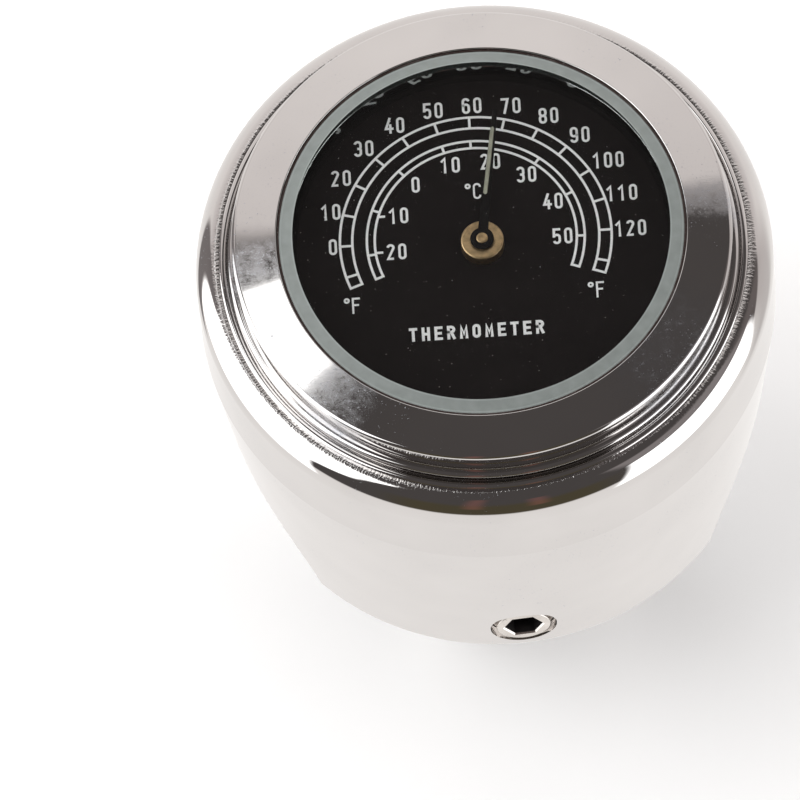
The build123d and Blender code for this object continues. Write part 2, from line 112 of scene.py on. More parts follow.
class ThermometerSizes(bpy.types.PropertyGroup):
    """Sizes that can be changed without moving the frame."""

    turned_steps: bpy.props.IntProperty(
        name="Turned Steps", description="Facets round each turned piece", default=384, min=48
    )
    notch_radius: bpy.props.FloatProperty(
        name="Notch Radius", description="Half-round notch over the handlebar", default=0.013, unit="LENGTH"
    )
    numeral_height: bpy.props.FloatProperty(
        name="Numeral Height", description="Height of the dial's numerals", default=0.00135, unit="LENGTH"
    )
    numeral_width: bpy.props.FloatProperty(
        name="Numeral Width", description="Width of one numeral", default=0.00062, unit="LENGTH"
    )
    numeral_gap: bpy.props.FloatProperty(
        name="Numeral Gap", description="Space between two numerals", default=0.00026, unit="LENGTH"
    )
    print_stroke: bpy.props.FloatProperty(
        name="Print Stroke", description="Width of a printed line", default=0.00019, unit="LENGTH"
    )
    print_rise: bpy.props.FloatProperty(
        name="Print Rise", description="Height of the ink above the dial", default=0.00002, unit="LENGTH"
    )
    print_shift: bpy.props.FloatVectorProperty(
        name="Print Shift", description="Centre of the print beside the arbor", size=2,
        default=(-0.0005, 0.0007), unit="LENGTH"
    )
    print_turn: bpy.props.FloatProperty(
        name="Print Turn", description="Turn of the print about the arbor",
        default=math.radians(-3.0), subtype="ANGLE"
    )
    pointer_heading: bpy.props.FloatProperty(
        name="Pointer Heading", description="Direction of the pointer at rest",
        default=math.radians(79), subtype="ANGLE"
    )


class ThermometerFinish(bpy.types.PropertyGroup):
    """Colours of the finishes."""

    chrome: bpy.props.FloatVectorProperty(
        name="Chrome", description="Colour of the chrome plating", subtype="COLOR",
        default=(0.69, 0.672, 0.662)
    )
    dial: bpy.props.FloatVectorProperty(
        name="Dial", description="Colour of the dial plate", subtype="COLOR", default=(0.0085, 0.0068, 0.0068)
    )
    ink: bpy.props.FloatVectorProperty(
        name="Ink", description="Colour of the print", subtype="COLOR", default=(0.93, 0.93, 0.93)
    )
    brass: bpy.props.FloatVectorProperty(
        name="Brass", description="Colour of the brass pieces", subtype="COLOR", default=(0.62, 0.44, 0.24)
    )
    pointer: bpy.props.FloatVectorProperty(
        name="Pointer", description="Colour of the pointer's paint", subtype="COLOR",
        default=(0.004, 0.0035, 0.0035)
    )
    # The rib's pale olive colour is a painted highlight on the pointer
    rib: bpy.props.FloatVectorProperty(
        name="Pointer Rib", description="Colour of the pointer's worn rib", subtype="COLOR",
        default=(0.30, 0.30, 0.235)
    )
    glass: bpy.props.FloatVectorProperty(
        name="Glass", description="Tint of the glass", subtype="COLOR", default=(0.985, 1.0, 0.993)
    )
    glass_rim: bpy.props.FloatVectorProperty(
        name="Glass Rim", description="Colour of the ground rim of the glass", subtype="COLOR",
        default=(0.185, 0.205, 0.197)
    )
    rubber: bpy.props.FloatVectorProperty(
        name="Rubber", description="Colour of the rubber liners", subtype="COLOR",
        default=(0.022, 0.021, 0.02)
    )
    steel: bpy.props.FloatVectorProperty(
        name="Steel", description="Colour of the bare steel", subtype="COLOR", default=(0.56, 0.55, 0.53)
    )


class ThermometerStage(bpy.types.PropertyGroup):
    """Camera and light."""

    camera_distance: bpy.props.FloatProperty(
        name="Camera Distance", description="From the camera to the glass", default=1.124, unit="LENGTH"
    )
    camera_lens: bpy.props.FloatProperty(
        name="Camera Lens", description="Focal length on a 36 mm sensor", default=667, unit="CAMERA"
    )
    azimuth: bpy.props.FloatProperty(
        name="Azimuth", description="Camera's turn to the right of the front",
        default=math.radians(-0.16), subtype="ANGLE"
    )
    elevation: bpy.props.FloatProperty(
        name="Elevation", description="Camera's height above the horizon",
        default=math.radians(63.45), subtype="ANGLE"
    )
    roll: bpy.props.FloatProperty(
        name="Roll", description="Turn of the camera about its own axis",
        default=math.radians(6.24), subtype="ANGLE"
    )
    aim: bpy.props.FloatVectorProperty(
        name="Aim", description="How far right of and above the view's middle the glass lies", size=2,
        default=(0.00616, 0.01292), unit="LENGTH"
    )
    softbox_power: bpy.props.FloatProperty(
        name="Softbox Power", description="Power of each soft light, in watts", default=1.6, min=0
    )
    studio_strength: bpy.props.FloatProperty(
        name="Studio Strength", description="Strength of the studio's walls and panels", default=1.0, min=0
    )
    floor_size: bpy.props.FloatProperty(
        name="Floor Size", description="Half the width of the floor", default=1.5, unit="LENGTH"
    )


# ------------------------------------------------------------------ node writing

class Graph:
    """Writes the nodes of one material or world."""

    def __init__(self, tree):
        self.tree = tree
        tree.nodes.clear()

    def add(self, kind, inputs=None, **settings):
        node = self.tree.nodes.new(kind)
        for key, value in settings.items():
            setattr(node, key, value)
        for key, value in (inputs or {}).items():
            self.feed(node.inputs[key], value)
        return node

    def feed(self, socket, value):
        if isinstance(value, bpy.types.NodeSocket):
            self.tree.links.new(value, socket)
        elif hasattr(socket.default_value, "__len__") and len(socket.default_value) == 4:
            socket.default_value = (*tuple(value)[:3], 1.0)
        else:
            socket.default_value = value

    def math(self, operation, *values):
        return self.add("ShaderNodeMath", dict(enumerate(values)), operation=operation).outputs[0]

    def product(self, *values):
        total = values[0]
        for value in values[1:]:
            total = self.math("MULTIPLY", total, value)
        return total

    def smooth(self, value, low, high):
        inputs = {"Value": value, "From Min": low, "From Max": high}
        return self.add("ShaderNodeMapRange", inputs, interpolation_type="SMOOTHSTEP").outputs[0]

    def band(self, value, low, high, soft):
        rise = self.smooth(value, low - soft, low + soft)
        fall = self.smooth(value, high + soft, high - soft)
        return self.math("MULTIPLY", rise, fall)

    def spread(self, value, low, high):
        """A noise value, stretched to run from low to high."""
        inputs = {"Value": value, "From Min": 0.25, "From Max": 0.75, "To Min": low, "To Max": high}
        return self.add("ShaderNodeMapRange", inputs).outputs[0]

    def mix(self, factor, a, b):
        node = self.add("ShaderNodeMix", data_type="RGBA")
        for socket, value in zip((node.inputs[0], node.inputs[6], node.inputs[7]), (factor, a, b)):
            self.feed(socket, value)
        return node.outputs[2]

    def millimetres(self, stretch=(1, 1, 1), shift=(0, 0, 0)):
        """The place on the piece in millimetres, stretched and shifted."""
        place = self.add("ShaderNodeTexCoord").outputs["Object"]
        inputs = {"Vector": place, "Scale": [s / MM for s in stretch], "Location": shift}
        return self.add("ShaderNodeMapping", inputs).outputs[0]

    def parts_of(self, vector):
        return self.add("ShaderNodeSeparateXYZ", {0: vector}).outputs

    def noise(self, place, scale, detail=3.0, roughness=0.5):
        inputs = {"Vector": place, "Scale": scale, "Detail": detail, "Roughness": roughness}
        return self.add("ShaderNodeTexNoise", inputs).outputs[0]

    def cells(self, place, scale):
        return self.add("ShaderNodeTexVoronoi", {"Vector": place, "Scale": scale}).outputs["Distance"]

    def bump(self, height, distance, strength=1.0, normal=None):
        inputs = {"Height": height, "Distance": distance, "Strength": strength}
        if normal is not None:
            inputs["Normal"] = normal
        return self.add("ShaderNodeBump", inputs).outputs[0]

    def surface(self, inputs):
        shader = self.add("ShaderNodeBsdfPrincipled", inputs)
        self.add("ShaderNodeOutputMaterial", {"Surface": shader.outputs[0]})
        return shader


def new_material(name):
    """A fresh material and the writer of its nodes."""
    material = bpy.data.materials.new(name)
    material.use_nodes = True
    return material, Graph(material.node_tree)


def tinted(colour, share):
    """The same colour, lighter or darker."""
    return tuple(min(1.0, c * share) for c in tuple(colour)[:3])


# ------------------------------------------------------------------ finishes

def chrome_finish(name, colour, chatter=None, dusty=()):
    """Mirror chrome with faint waves, hairline scratches and dust. chatter is a (radius, height) ring of tool
    marks, and dusty lists (angle, half width) sectors where dust has settled."""
    material, g = new_material(name)
    place = g.millimetres()
    x, y, z = g.parts_of(place)
    radius = g.math("SQRT", g.math("ADD", g.product(x, x), g.product(y, y)))
    angle = g.math("DEGREES", g.math("ARCTAN2", y, x))
    cloud = g.noise(place, 0.16, 2.0)
    specks = g.smooth(g.noise(place, 7.0, 2.0), 0.66, 0.74)
    hairlines = g.smooth(g.noise(g.millimetres((0.5, 9, 2)), 1.2, 2.0), 0.63, 0.70)
    dust = g.product(specks, g.smooth(cloud, 0.40, 0.62), 0.55)
    for middle, half in dusty:
        turned = g.math("ABSOLUTE", g.math("WRAP", g.math("SUBTRACT", angle, middle), 180, -180))
        film = g.spread(g.noise(place, 1.2, 5.0, 0.7), 0.0, 0.30)
        lint = g.product(g.smooth(g.noise(place, 4.5, 3.0, 0.7), 0.52, 0.72), 0.22)
        patch = g.product(g.smooth(turned, half, half * 0.3), g.math("ADD", film, lint))
        dust = g.math("MAXIMUM", dust, patch)
    shade = g.mix(g.spread(cloud, 0, 1), tinted(colour, 1.03), tinted(colour, 0.965))
    dusted = g.mix(dust, shade, (0.34, 0.40, 0.50))
    roughness = g.math("ADD", g.spread(g.noise(place, 1.1, 4.0), 0.018, 0.05), g.product(dust, 0.7))
    waves = g.bump(g.noise(place, 0.35, 2.0), 0.0000022)
    grain = g.bump(g.noise(place, 3.0, 3.0, 0.6), 0.00000022, normal=waves)
    normal = g.bump(hairlines, 0.0000001, normal=grain)
    if chatter:
        ring, rise, half = chatter
        near = g.product(
            g.smooth(g.math("ABSOLUTE", g.math("SUBTRACT", radius, ring)), half, 0),
            g.smooth(z, rise - 2 * half, rise - half),
        )
        around = g.add("ShaderNodeCombineXYZ", {0: g.product(angle, 0.9), 1: radius, 2: 0.0}).outputs[0]
        marks = g.noise(around, 2.4, 3.0)
        normal = g.bump(g.product(marks, near), 0.000035, normal=normal)
    g.surface({"Base Color": dusted, "Metallic": 1.0, "Roughness": roughness, "Normal": normal})
    return material


def metal_finish(name, colour, low=0.2, high=0.4, stretch=(1, 1, 1), rise=0.000002):
    """Machined metal: drawn grain, stains and small dents. stretch pulls the grain along one axis."""
    material, g = new_material(name)
    place = g.millimetres()
    grain = g.noise(g.millimetres(stretch), 5.0, 4.0, 0.6)
    stain = g.noise(place, 0.5, 4.0)
    shade = g.mix(g.spread(stain, 0, 1), tinted(colour, 1.08), tinted(colour, 0.78))
    worn = g.mix(g.smooth(grain, 0.6, 0.75), shade, tinted(colour, 0.6))
    normal = g.bump(g.noise(place, 1.6, 3.0), rise, normal=g.bump(grain, rise * 0.5))
    rough = g.spread(grain, low, high)
    g.surface({"Base Color": worn, "Metallic": 1.0, "Roughness": rough, "Normal": normal})
    return material


def rubber_finish(name, colour, roughness=0.6):
    """Moulded rubber: fine pebbling, chalky bloom and dust."""
    material, g = new_material(name)
    place = g.millimetres()
    bloom = g.smooth(g.noise(place, 0.6, 5.0, 0.65), 0.45, 0.75)
    dust = g.smooth(g.noise(place, 9.0, 2.0), 0.66, 0.72)
    shade = g.mix(g.product(bloom, 0.35), colour, tinted([c + 0.05 for c in colour], 1.6))
    dusted = g.mix(g.product(dust, 0.4), shade, (0.35, 0.34, 0.32))
    normal = g.bump(g.noise(place, 6.0, 3.0), 0.00002, normal=g.bump(g.cells(place, 3.0), 0.00001))
    rough = g.spread(g.noise(place, 2.0), roughness - 0.1, roughness + 0.12)
    g.surface({"Base Color": dusted, "Roughness": rough, "Normal": normal, "Specular IOR Level": 0.35})
    return material


def foam_finish(name):
    """Dark closed-cell foam with open pores at the cut face."""
    material, g = new_material(name)
    place = g.millimetres()
    pores = g.cells(place, 3.5)
    shade = g.mix(g.smooth(pores, 0.05, 0.5), (0.012, 0.012, 0.013), (0.06, 0.06, 0.065))
    g.surface({
        "Base Color": shade,
        "Roughness": g.spread(g.noise(place, 2.5), 0.8, 0.98),
        "Normal": g.bump(pores, 0.00008),
    })
    return material


def dial_finish(name, colour):
    """Matt black paint with pinhead dust."""
    material, g = new_material(name)
    place = g.millimetres()
    specks = g.smooth(g.cells(place, 0.75), 0.045, 0.025)
    fluff = g.smooth(g.noise(place, 5.0, 2.0), 0.73, 0.76)
    dust = g.math("MAXIMUM", g.product(specks, 0.55), g.product(fluff, 0.35))
    base = g.mix(g.spread(g.noise(place, 0.3, 3.0), 0, 1), tinted(colour, 0.88), tinted(colour, 1.18))
    shade = g.mix(dust, base, (0.30, 0.28, 0.26))
    rough = g.spread(g.noise(place, 1.5, 3.0), 0.5, 0.62)
    g.surface({"Base Color": shade, "Roughness": rough, "Specular IOR Level": 0.03})
    return material


def ink_finish(name, colour):
    """Screen-printed ink: slightly uneven cover with soft edges."""
    material, g = new_material(name)
    place = g.millimetres()
    cover = g.noise(place, 6.0, 3.0, 0.6)
    shade = g.mix(g.smooth(cover, 0.35, 0.7), tinted(colour, 0.93), colour)
    normal = g.bump(cover, 0.000003)
    g.surface({"Base Color": shade, "Roughness": g.spread(cover, 0.45, 0.6), "Normal": normal})
    return material


def brass_finish(name, colour, rings=True):
    """Turned brass: fine rings from the lathe, darker where it has tarnished."""
    material, g = new_material(name)
    place = g.millimetres()
    x, y, _ = g.parts_of(place)
    radius = g.math("SQRT", g.math("ADD", g.product(x, x), g.product(y, y)))
    lathe = g.math("SINE", g.product(radius, 75.0 if rings else 20.0))
    tarnish = g.noise(place, 1.6, 4.0, 0.6)
    shade = g.mix(g.smooth(tarnish, 0.35, 0.7), tinted(colour, 1.12), tinted(colour, 0.72))
    normal = g.bump(lathe, 0.0000012, normal=g.bump(g.noise(place, 4.0), 0.000006))
    rough = g.spread(tarnish, 0.26, 0.42)
    g.surface({"Base Color": shade, "Metallic": 1.0, "Roughness": rough, "Normal": normal})
    return material


def paint_finish(name, colour, roughness=0.35, gloss=0.5):
    """Thin paint on sheet metal: small runs, chips and dust."""
    material, g = new_material(name)
    place = g.millimetres()
    chips = g.smooth(g.noise(place, 6.0, 3.0, 0.7), 0.66, 0.72)
    mottled = g.mix(g.spread(g.noise(place, 1.2, 3.0), 0, 1), tinted(colour, 0.8), tinted(colour, 1.25))
    shade = g.mix(g.product(chips, 0.35), mottled, tinted([c + 0.04 for c in colour], 1.3))
    rough = g.spread(g.noise(place, 3.0), roughness - 0.08, roughness + 0.1)
    normal = g.bump(g.noise(place, 5.0), 0.000005)
    g.surface({"Base Color": shade, "Roughness": rough, "Normal": normal, "Specular IOR Level": gloss})
    return material


def glass_finish(name, colour):
    """Clear glass with a few grains of dust."""
    material, g = new_material(name)
    dust = g.smooth(g.cells(g.millimetres(shift=(3, 7, 0)), 0.55), 0.035, 0.02)
    g.surface({
        "Base Color": g.mix(dust, colour, (0.75, 0.75, 0.74)),
        "Roughness": g.product(dust, 0.3),
        "Transmission Weight": 1.0,
        "IOR": 1.5,
    })
    return material


def rim_finish(name, colour):
    """Ground glass rim: greenish, with a faint pale line along each edge."""
    material, g = new_material(name)
    place = g.millimetres()
    x, y, _ = g.parts_of(place)
    radius = g.math("SQRT", g.math("ADD", g.product(x, x), g.product(y, y)))
    rings = g.math("MAXIMUM", g.band(radius, 14.38, 14.46, 0.04), g.band(radius, 15.24, 15.32, 0.04))
    cloud = g.noise(place, 1.2, 4.0)
    base = g.mix(g.spread(cloud, 0, 1), tinted(colour, 0.9), tinted(colour, 1.12))
    shade = g.mix(g.product(rings, 0.5), base, tinted(colour, 1.55))
    rough = g.spread(cloud, 0.4, 0.55)
    normal = g.bump(g.noise(place, 5.0), 0.000004)
    g.surface({"Base Color": shade, "Roughness": rough, "Normal": normal})
    return material


# ------------------------------------------------------------------ shaping

def scene_object(name, mesh, *materials):
    """Links a mesh to the scene as one object."""
    thing = bpy.data.objects.new(name, mesh)
    bpy.context.scene.collection.objects.link(thing)
    for material in materials:
        mesh.materials.append(material)
    return thing


def shade(mesh, angle=SHARP_ANGLE):
    """Smooth faces, with sharp edges where two faces meet at more than angle."""
    work = bmesh.new()
    work.from_mesh(mesh)
    bmesh.ops.remove_doubles(work, verts=work.verts, dist=1e-8)
    bmesh.ops.recalc_face_normals(work, faces=work.faces)
    for face in work.faces:
        face.smooth = True
    for edge in work.edges:
        edge.smooth = len(edge.link_faces) == 2 and edge.calc_face_angle(0.0) < angle
    work.to_mesh(mesh)
    work.free()


def curve(x, z, rx, rz, start, end, steps=12):
    """Points on an ellipse's arc, in degrees."""
    turns = [math.radians(start + (end - start) * i / steps) for i in range(steps + 1)]
    return [(x + rx * math.cos(t), z + rz * math.sin(t)) for t in turns]


def flat(start, end, pitch=None, edge=0.015):
    """Points along a straight run, with a support point close to each end so that the run shades flat."""
    (x0, z0), (x1, z1) = start, end
    length = math.hypot(x1 - x0, z1 - z0)
    near = edge / length
    inner = max(1, round(length / pitch)) if pitch else 1
    shares = [0, near, *(i / inner for i in range(1, inner)), 1 - near, 1]
    return [(x0 + (x1 - x0) * s, z0 + (z1 - z0) * s) for s in shares]


def turned_mesh(name, outline, steps, axis="Z", centre=(0, 0, 0)):
    """Turns a closed outline of (radius, height) points, in millimetres, about an axis."""
    kept = [p for i, p in enumerate(outline) if math.dist(p, outline[i - 1]) > 1e-5]
    verts, rings = [], []
    for radius, height in kept:
        if radius < 1e-6:
            rings.append([len(verts)] * steps)
            verts.append((0, 0, height * MM))
            continue
        rings.append(list(range(len(verts), len(verts) + steps)))
        for i in range(steps):
            turn = math.tau * i / steps
            verts.append((radius * MM * math.cos(turn), radius * MM * math.sin(turn), height * MM))
    faces = []
    for low, high in zip(rings, rings[1:] + rings[:1]):
        if len(set(low)) == 1 and len(set(high)) == 1:
            continue
        for i in range(steps):
            j = (i + 1) % steps
            corners = [low[i], low[j], high[j], high[i]]
            faces.append([c for k, c in enumerate(corners) if c != corners[k - 1]])
    mesh = bpy.data.meshes.new(name)
    mesh.from_pydata(verts, [], faces)
    quarter = math.pi / 2
    turns = {
        "Z": Matrix.Identity(4),
        "X": Matrix.Rotation(quarter, 4, "Y"),
        "Y": Matrix.Rotation(quarter, 4, "X"),
    }
    mesh.transform(Matrix.Translation(Vector(centre) * MM) @ turns[axis])
    shade(mesh)
    return mesh


def prism_mesh(name, outline, low, high):
    """A closed outline of (y, z) points, in millimetres, drawn out along X from low to high."""
    count = len(outline)
    verts = [(x * MM, y * MM, z * MM) for x in (low, high) for y, z in outline]
    faces = [list(range(count))[::-1], list(range(count, 2 * count))]
    faces += [[i, (i + 1) % count, count + (i + 1) % count, count + i] for i in range(count)]
    mesh = bpy.data.meshes.new(name)
    mesh.from_pydata(verts, [], faces)
    shade(mesh)
    return mesh


def lofted_mesh(name, sections):
    """Joins closed sections, lists of points in millimetres, into one skin with flat ends."""
    count = len(sections[0])
    verts = [tuple(c * MM for c in point) for section in sections for point in section]
    faces = [list(range(count))[::-1]]
    for s in range(len(sections) - 1):
        for i in range(count):
            j = (i + 1) % count
            faces.append([s * count + i, s * count + j, (s + 1) * count + j, (s + 1) * count + i])
    faces.append(list(range((len(sections) - 1) * count, len(sections) * count)))
    mesh = bpy.data.meshes.new(name)
    mesh.from_pydata(verts, [], faces)
    shade(mesh)
    return mesh


def settle(thing):
    """Applies a piece's modifiers to its mesh."""
    depsgraph = bpy.context.evaluated_depsgraph_get()
    made = bpy.data.meshes.new_from_object(thing.evaluated_get(depsgraph), depsgraph=depsgraph)
    made.name = thing.name
    old = thing.data
    thing.modifiers.clear()
    thing.data = made
    bpy.data.meshes.remove(old)
    shade(made)


def combine(thing, operation, *meshes):
    """Cuts meshes out of a piece or joins them to it."""
    tools = [scene_object("tool", mesh) for mesh in meshes]
    for tool in tools:
        step = thing.modifiers.new("shape", "BOOLEAN")
        step.operation = operation
        step.solver = "EXACT"
        step.object = tool
    settle(thing)
    for tool in tools:
        bpy.data.objects.remove(tool)


def wedge(radius, start, end, steps):
    """A pie slice in (y, z), as an outline."""
    return [(0, 0), *curve(0, 0, radius, radius, start, end, steps)]


def rounded_section(half_width, inner, outer, round_by):
    """A strip's section as (across, radius) points, with rounded corners."""
    r = round_by
    corners = (
        (half_width - r, outer - r, 0), (-half_width + r, outer - r, 90),
        (-half_width + r, inner + r, 180), (half_width - r, inner + r, 270),
    )
    return [p for x, z, start in corners for p in curve(x, z, r, r, start, start + 90, 4)]


# ------------------------------------------------------------------ operators: shell

class THERMOMETER_OT_housing(bpy.types.Operator):
    """Chromed housing with its rounded shoulder, notch, pockets and screw hole"""

    bl_idname = "thermometer.housing"
    bl_label = "Make Housing"

    def execute(self, context):
        sizes, finish = context.scene.thermometer_sizes, context.scene.thermometer_finish
        top, foot, reach = HOUSING_TOP, HOUSING_FOOT, HOUSING_RADIUS
        shoulder_width, shoulder_height = 1.7, 2.38
        bead_rise, bead_half = 0.2, 0.3
        bead_radius = reach - 2.18
        lip_foot = top - bead_rise
        shoulder = lip_foot - shoulder_height
        waist = shoulder - 5.5
        rim, rim_round = 19.85, 0.35
        bore_radius, cup_floor = 18.68, 18.35
        lean = math.degrees(math.atan2(reach - rim, waist - foot))
        outline = [
            (0, foot),
            *flat((rim / 2, foot), (rim - 0.33, foot)),
            *curve(rim - 0.33, foot + rim_round, rim_round, rim_round, -90, -lean, 6),
            *flat((rim + 0.06, foot + 0.4), (reach, waist), 0.9),
            *flat((reach, waist), (reach, shoulder), 0.9),
            *curve(reach - shoulder_width, shoulder, shoulder_width, shoulder_height, 0, 90, 40),
            *curve(bead_radius, lip_foot, bead_half, bead_rise, 0, 180, 16),
            (bore_radius + 0.22, lip_foot),
            *curve(bore_radius + 0.12, lip_foot - 0.12, 0.12, 0.12, 90, 180, 4),
            (bore_radius, cup_floor),
            (0, cup_floor),
        ]
        steps = sizes.turned_steps
        shell = scene_object("housing_shell", turned_mesh("housing_shell", outline, steps))
        notch_radius = sizes.notch_radius / MM
        notch = turned_mesh(
            "notch", [(0, -BEYOND), (notch_radius, -BEYOND), (notch_radius, BEYOND), (0, BEYOND)], steps, "X"
        )
        seat_radius = STRAP_OUTER - STRAP_THICKNESS
        seat = prism_mesh("seat", wedge(seat_radius, 43, 137, 64), -PAD_HALF, PAD_HALF)
        pocket_half = STRAP_HALF + 0.5
        front_top, rear_reach = TONGUE_TOP + 0.9, PIN_Y + 2.55
        front = prism_mesh(
            "front_pocket", [(0, 0.01), (-16.1, 0.01), (-16.1, front_top), (-6.35, front_top)],
            -pocket_half, pocket_half,
        )
        rear = prism_mesh(
            "rear_pocket", [(0, 0.02), (rear_reach, 0.02), (rear_reach, PIN_Z + 2.55), (6.35, PIN_Z + 2.55)],
            -pocket_half + 0.001, pocket_half - 0.001,
        )
        slot_top = PIN_Z + STRAP_OUTER - PIN_Y + 0.35
        slot = prism_mesh(
            "slot", [(PIN_Y, 0.03), (BEYOND, 0.03), (BEYOND, slot_top), (PIN_Y, slot_top)],
            -pocket_half + 0.002, pocket_half - 0.002,
        )
        pin_end = 11.5
        pin_hole = turned_mesh(
            "pin_hole", [(0, -pin_end), (PIN_RADIUS, -pin_end), (PIN_RADIUS, BEYOND), (0, BEYOND)],
            48, "X", (0, PIN_Y, PIN_Z),
        )
        bore, sink, inside = SCREW_RADIUS + 0.05, 0.15, 8
        mouth = bore + 2 * sink
        wall = rim + math.tan(math.radians(lean)) * (SCREW_Z - foot)
        hole_outline = [
            (0, inside), (bore, inside), (bore, wall - sink),
            (mouth, wall + sink), (mouth, BEYOND), (0, BEYOND),
        ]
        screw_hole = turned_mesh("screw_hole", hole_outline, 96, "Y", (0, 0, SCREW_Z))
        combine(shell, "DIFFERENCE", notch, seat, front, rear, slot, pin_hole, screw_hole)
        shell.data.materials.append(
            chrome_finish("chrome_housing", finish.chrome, chatter=(20.42, lip_foot, 0.42))
        )
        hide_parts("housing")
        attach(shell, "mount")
        return {"FINISHED"}


class THERMOMETER_OT_bezel(bpy.types.Operator):
    """Polished bezel with the bead at its foot and the neck that drops into the housing"""

    bl_idname = "thermometer.bezel"
    bl_label = "Make Bezel"

    def execute(self, context):
        sizes, finish = context.scene.thermometer_sizes, context.scene.thermometer_finish
        bead_width, bead_half = 0.38, 0.25
        edge = BEAD_RADIUS - bead_width
        bead = LENS_TOP - 3.2
        bore = GASKET_RADIUS
        groove, groove_half, groove_depth = LENS_TOP - 6.85, 0.6, 0.9
        neck, neck_bore = edge - 0.45, 16.4
        ledge_top, ledge_foot, ledge_bore = LENS_TOP - 3.7, LENS_TOP - 5.3, bore - 2.2
        edge_round, drop = 0.35, 0.55
        outer_face = (edge - edge_round, LENS_TOP - drop)
        side_top = LENS_TOP - drop - edge_round
        slope = math.degrees(math.atan2(0.43, 3.1))
        outline = [
            *curve(bore + 0.08, LENS_TOP - 0.208, 0.08, 0.08, 180, 90 - slope, 5),
            *flat((bore + 0.1, LENS_TOP - 0.131), outer_face, 0.5),
            *curve(edge - edge_round, side_top, edge_round, edge_round, 90 - slope, 0, 12),
            *flat((edge, side_top), (edge, bead + bead_half), 0.5),
            *curve(edge, bead, bead_width, bead_half, 90, -90, 24),
            (neck, bead - bead_half),
            (neck, groove + groove_half), (neck - groove_depth, groove + groove_half),
            (neck - groove_depth, groove - groove_half), (neck, groove - groove_half),
            (neck, NECK_FOOT), (neck_bore, NECK_FOOT), (neck_bore, ledge_foot),
            (ledge_bore, ledge_foot), (ledge_bore, ledge_top), (bore, ledge_top),
        ]
        ring = scene_object(
            "bezel_ring",
            turned_mesh("bezel_ring", outline, sizes.turned_steps),
            chrome_finish("chrome_bezel", finish.chrome, dusty=DUSTY_SECTORS),
        )
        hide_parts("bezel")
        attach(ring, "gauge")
        return {"FINISHED"}


class THERMOMETER_OT_glass(bpy.types.Operator):
    """Bevelled glass, its gasket and the polished ring under it"""

    bl_idname = "thermometer.glass"
    bl_label = "Make Glass"

    def execute(self, context):
        sizes, finish = context.scene.thermometer_sizes, context.scene.thermometer_finish
        steps = sizes.turned_steps
        bevel, drop = 1.05, 0.3
        glass_outline = [
            (0, LENS_UNDER),
            *flat((LENS_RADIUS / 2, LENS_UNDER), (LENS_RADIUS, LENS_UNDER)),
            *flat((LENS_RADIUS, LENS_UNDER), (LENS_RADIUS, LENS_TOP - drop)),
            *flat((LENS_RADIUS, LENS_TOP - drop), (LENS_RADIUS - bevel, LENS_TOP)),
            *flat((LENS_RADIUS - bevel, LENS_TOP), (LENS_RADIUS / 2, LENS_TOP)),
            (0, LENS_TOP),
        ]
        lens = scene_object(
            "lens_disc", turned_mesh("lens_disc", glass_outline, steps),
            glass_finish("lens_glass", finish.glass), rim_finish("ground_rim", finish.glass_rim),
        )
        # The bevel's faces, between the flat top and the side, carry the ground finish
        for face in lens.data.polygons:
            depth = LENS_TOP - face.center.z / MM
            face.material_index = int(0.0005 < depth < drop - 0.0005)
        lens.visible_shadow = False
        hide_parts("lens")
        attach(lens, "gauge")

        seal_top = LENS_TOP - 0.25
        seal_outline = [
            (LENS_RADIUS + 0.005, LENS_UNDER), (GASKET_RADIUS - 0.005, LENS_UNDER),
            *curve((LENS_RADIUS + GASKET_RADIUS) / 2, seal_top - 0.06, 0.095, 0.06, 0, 180, 8),
        ]
        seal = scene_object(
            "glass_seal", turned_mesh("glass_seal", seal_outline, steps),
            rubber_finish("gasket", (0.020, 0.010, 0.008), 0.5),
        )
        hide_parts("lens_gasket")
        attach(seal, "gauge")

        inner_top = LENS_RADIUS - 0.9
        inner_foot = inner_top - 0.35
        ring_outline = [
            *flat((inner_foot, DIAL_TOP), (inner_top, LENS_UNDER - 0.03), 0.3),
            (inner_top + 0.03, LENS_UNDER - 0.005),
            *flat((inner_top + 0.05, LENS_UNDER - 0.002), (GASKET_RADIUS, LENS_UNDER - 0.002)),
            (GASKET_RADIUS, DIAL_TOP),
        ]
        ring = scene_object(
            "spacer_cone", turned_mesh("spacer_cone", ring_outline, steps),
            metal_finish("polished_spacer", (0.42, 0.44, 0.43), 0.03, 0.09, (1, 1, 4), 0.0000004),
        )
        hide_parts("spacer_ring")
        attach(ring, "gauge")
        return {"FINISHED"}


# ------------------------------------------------------------------ dial print

def bend(x, y, r, start, end, steps=10):
    """Points on a circle's arc, for the strokes of a character."""
    return curve(x, y, r, r, start, end, steps)


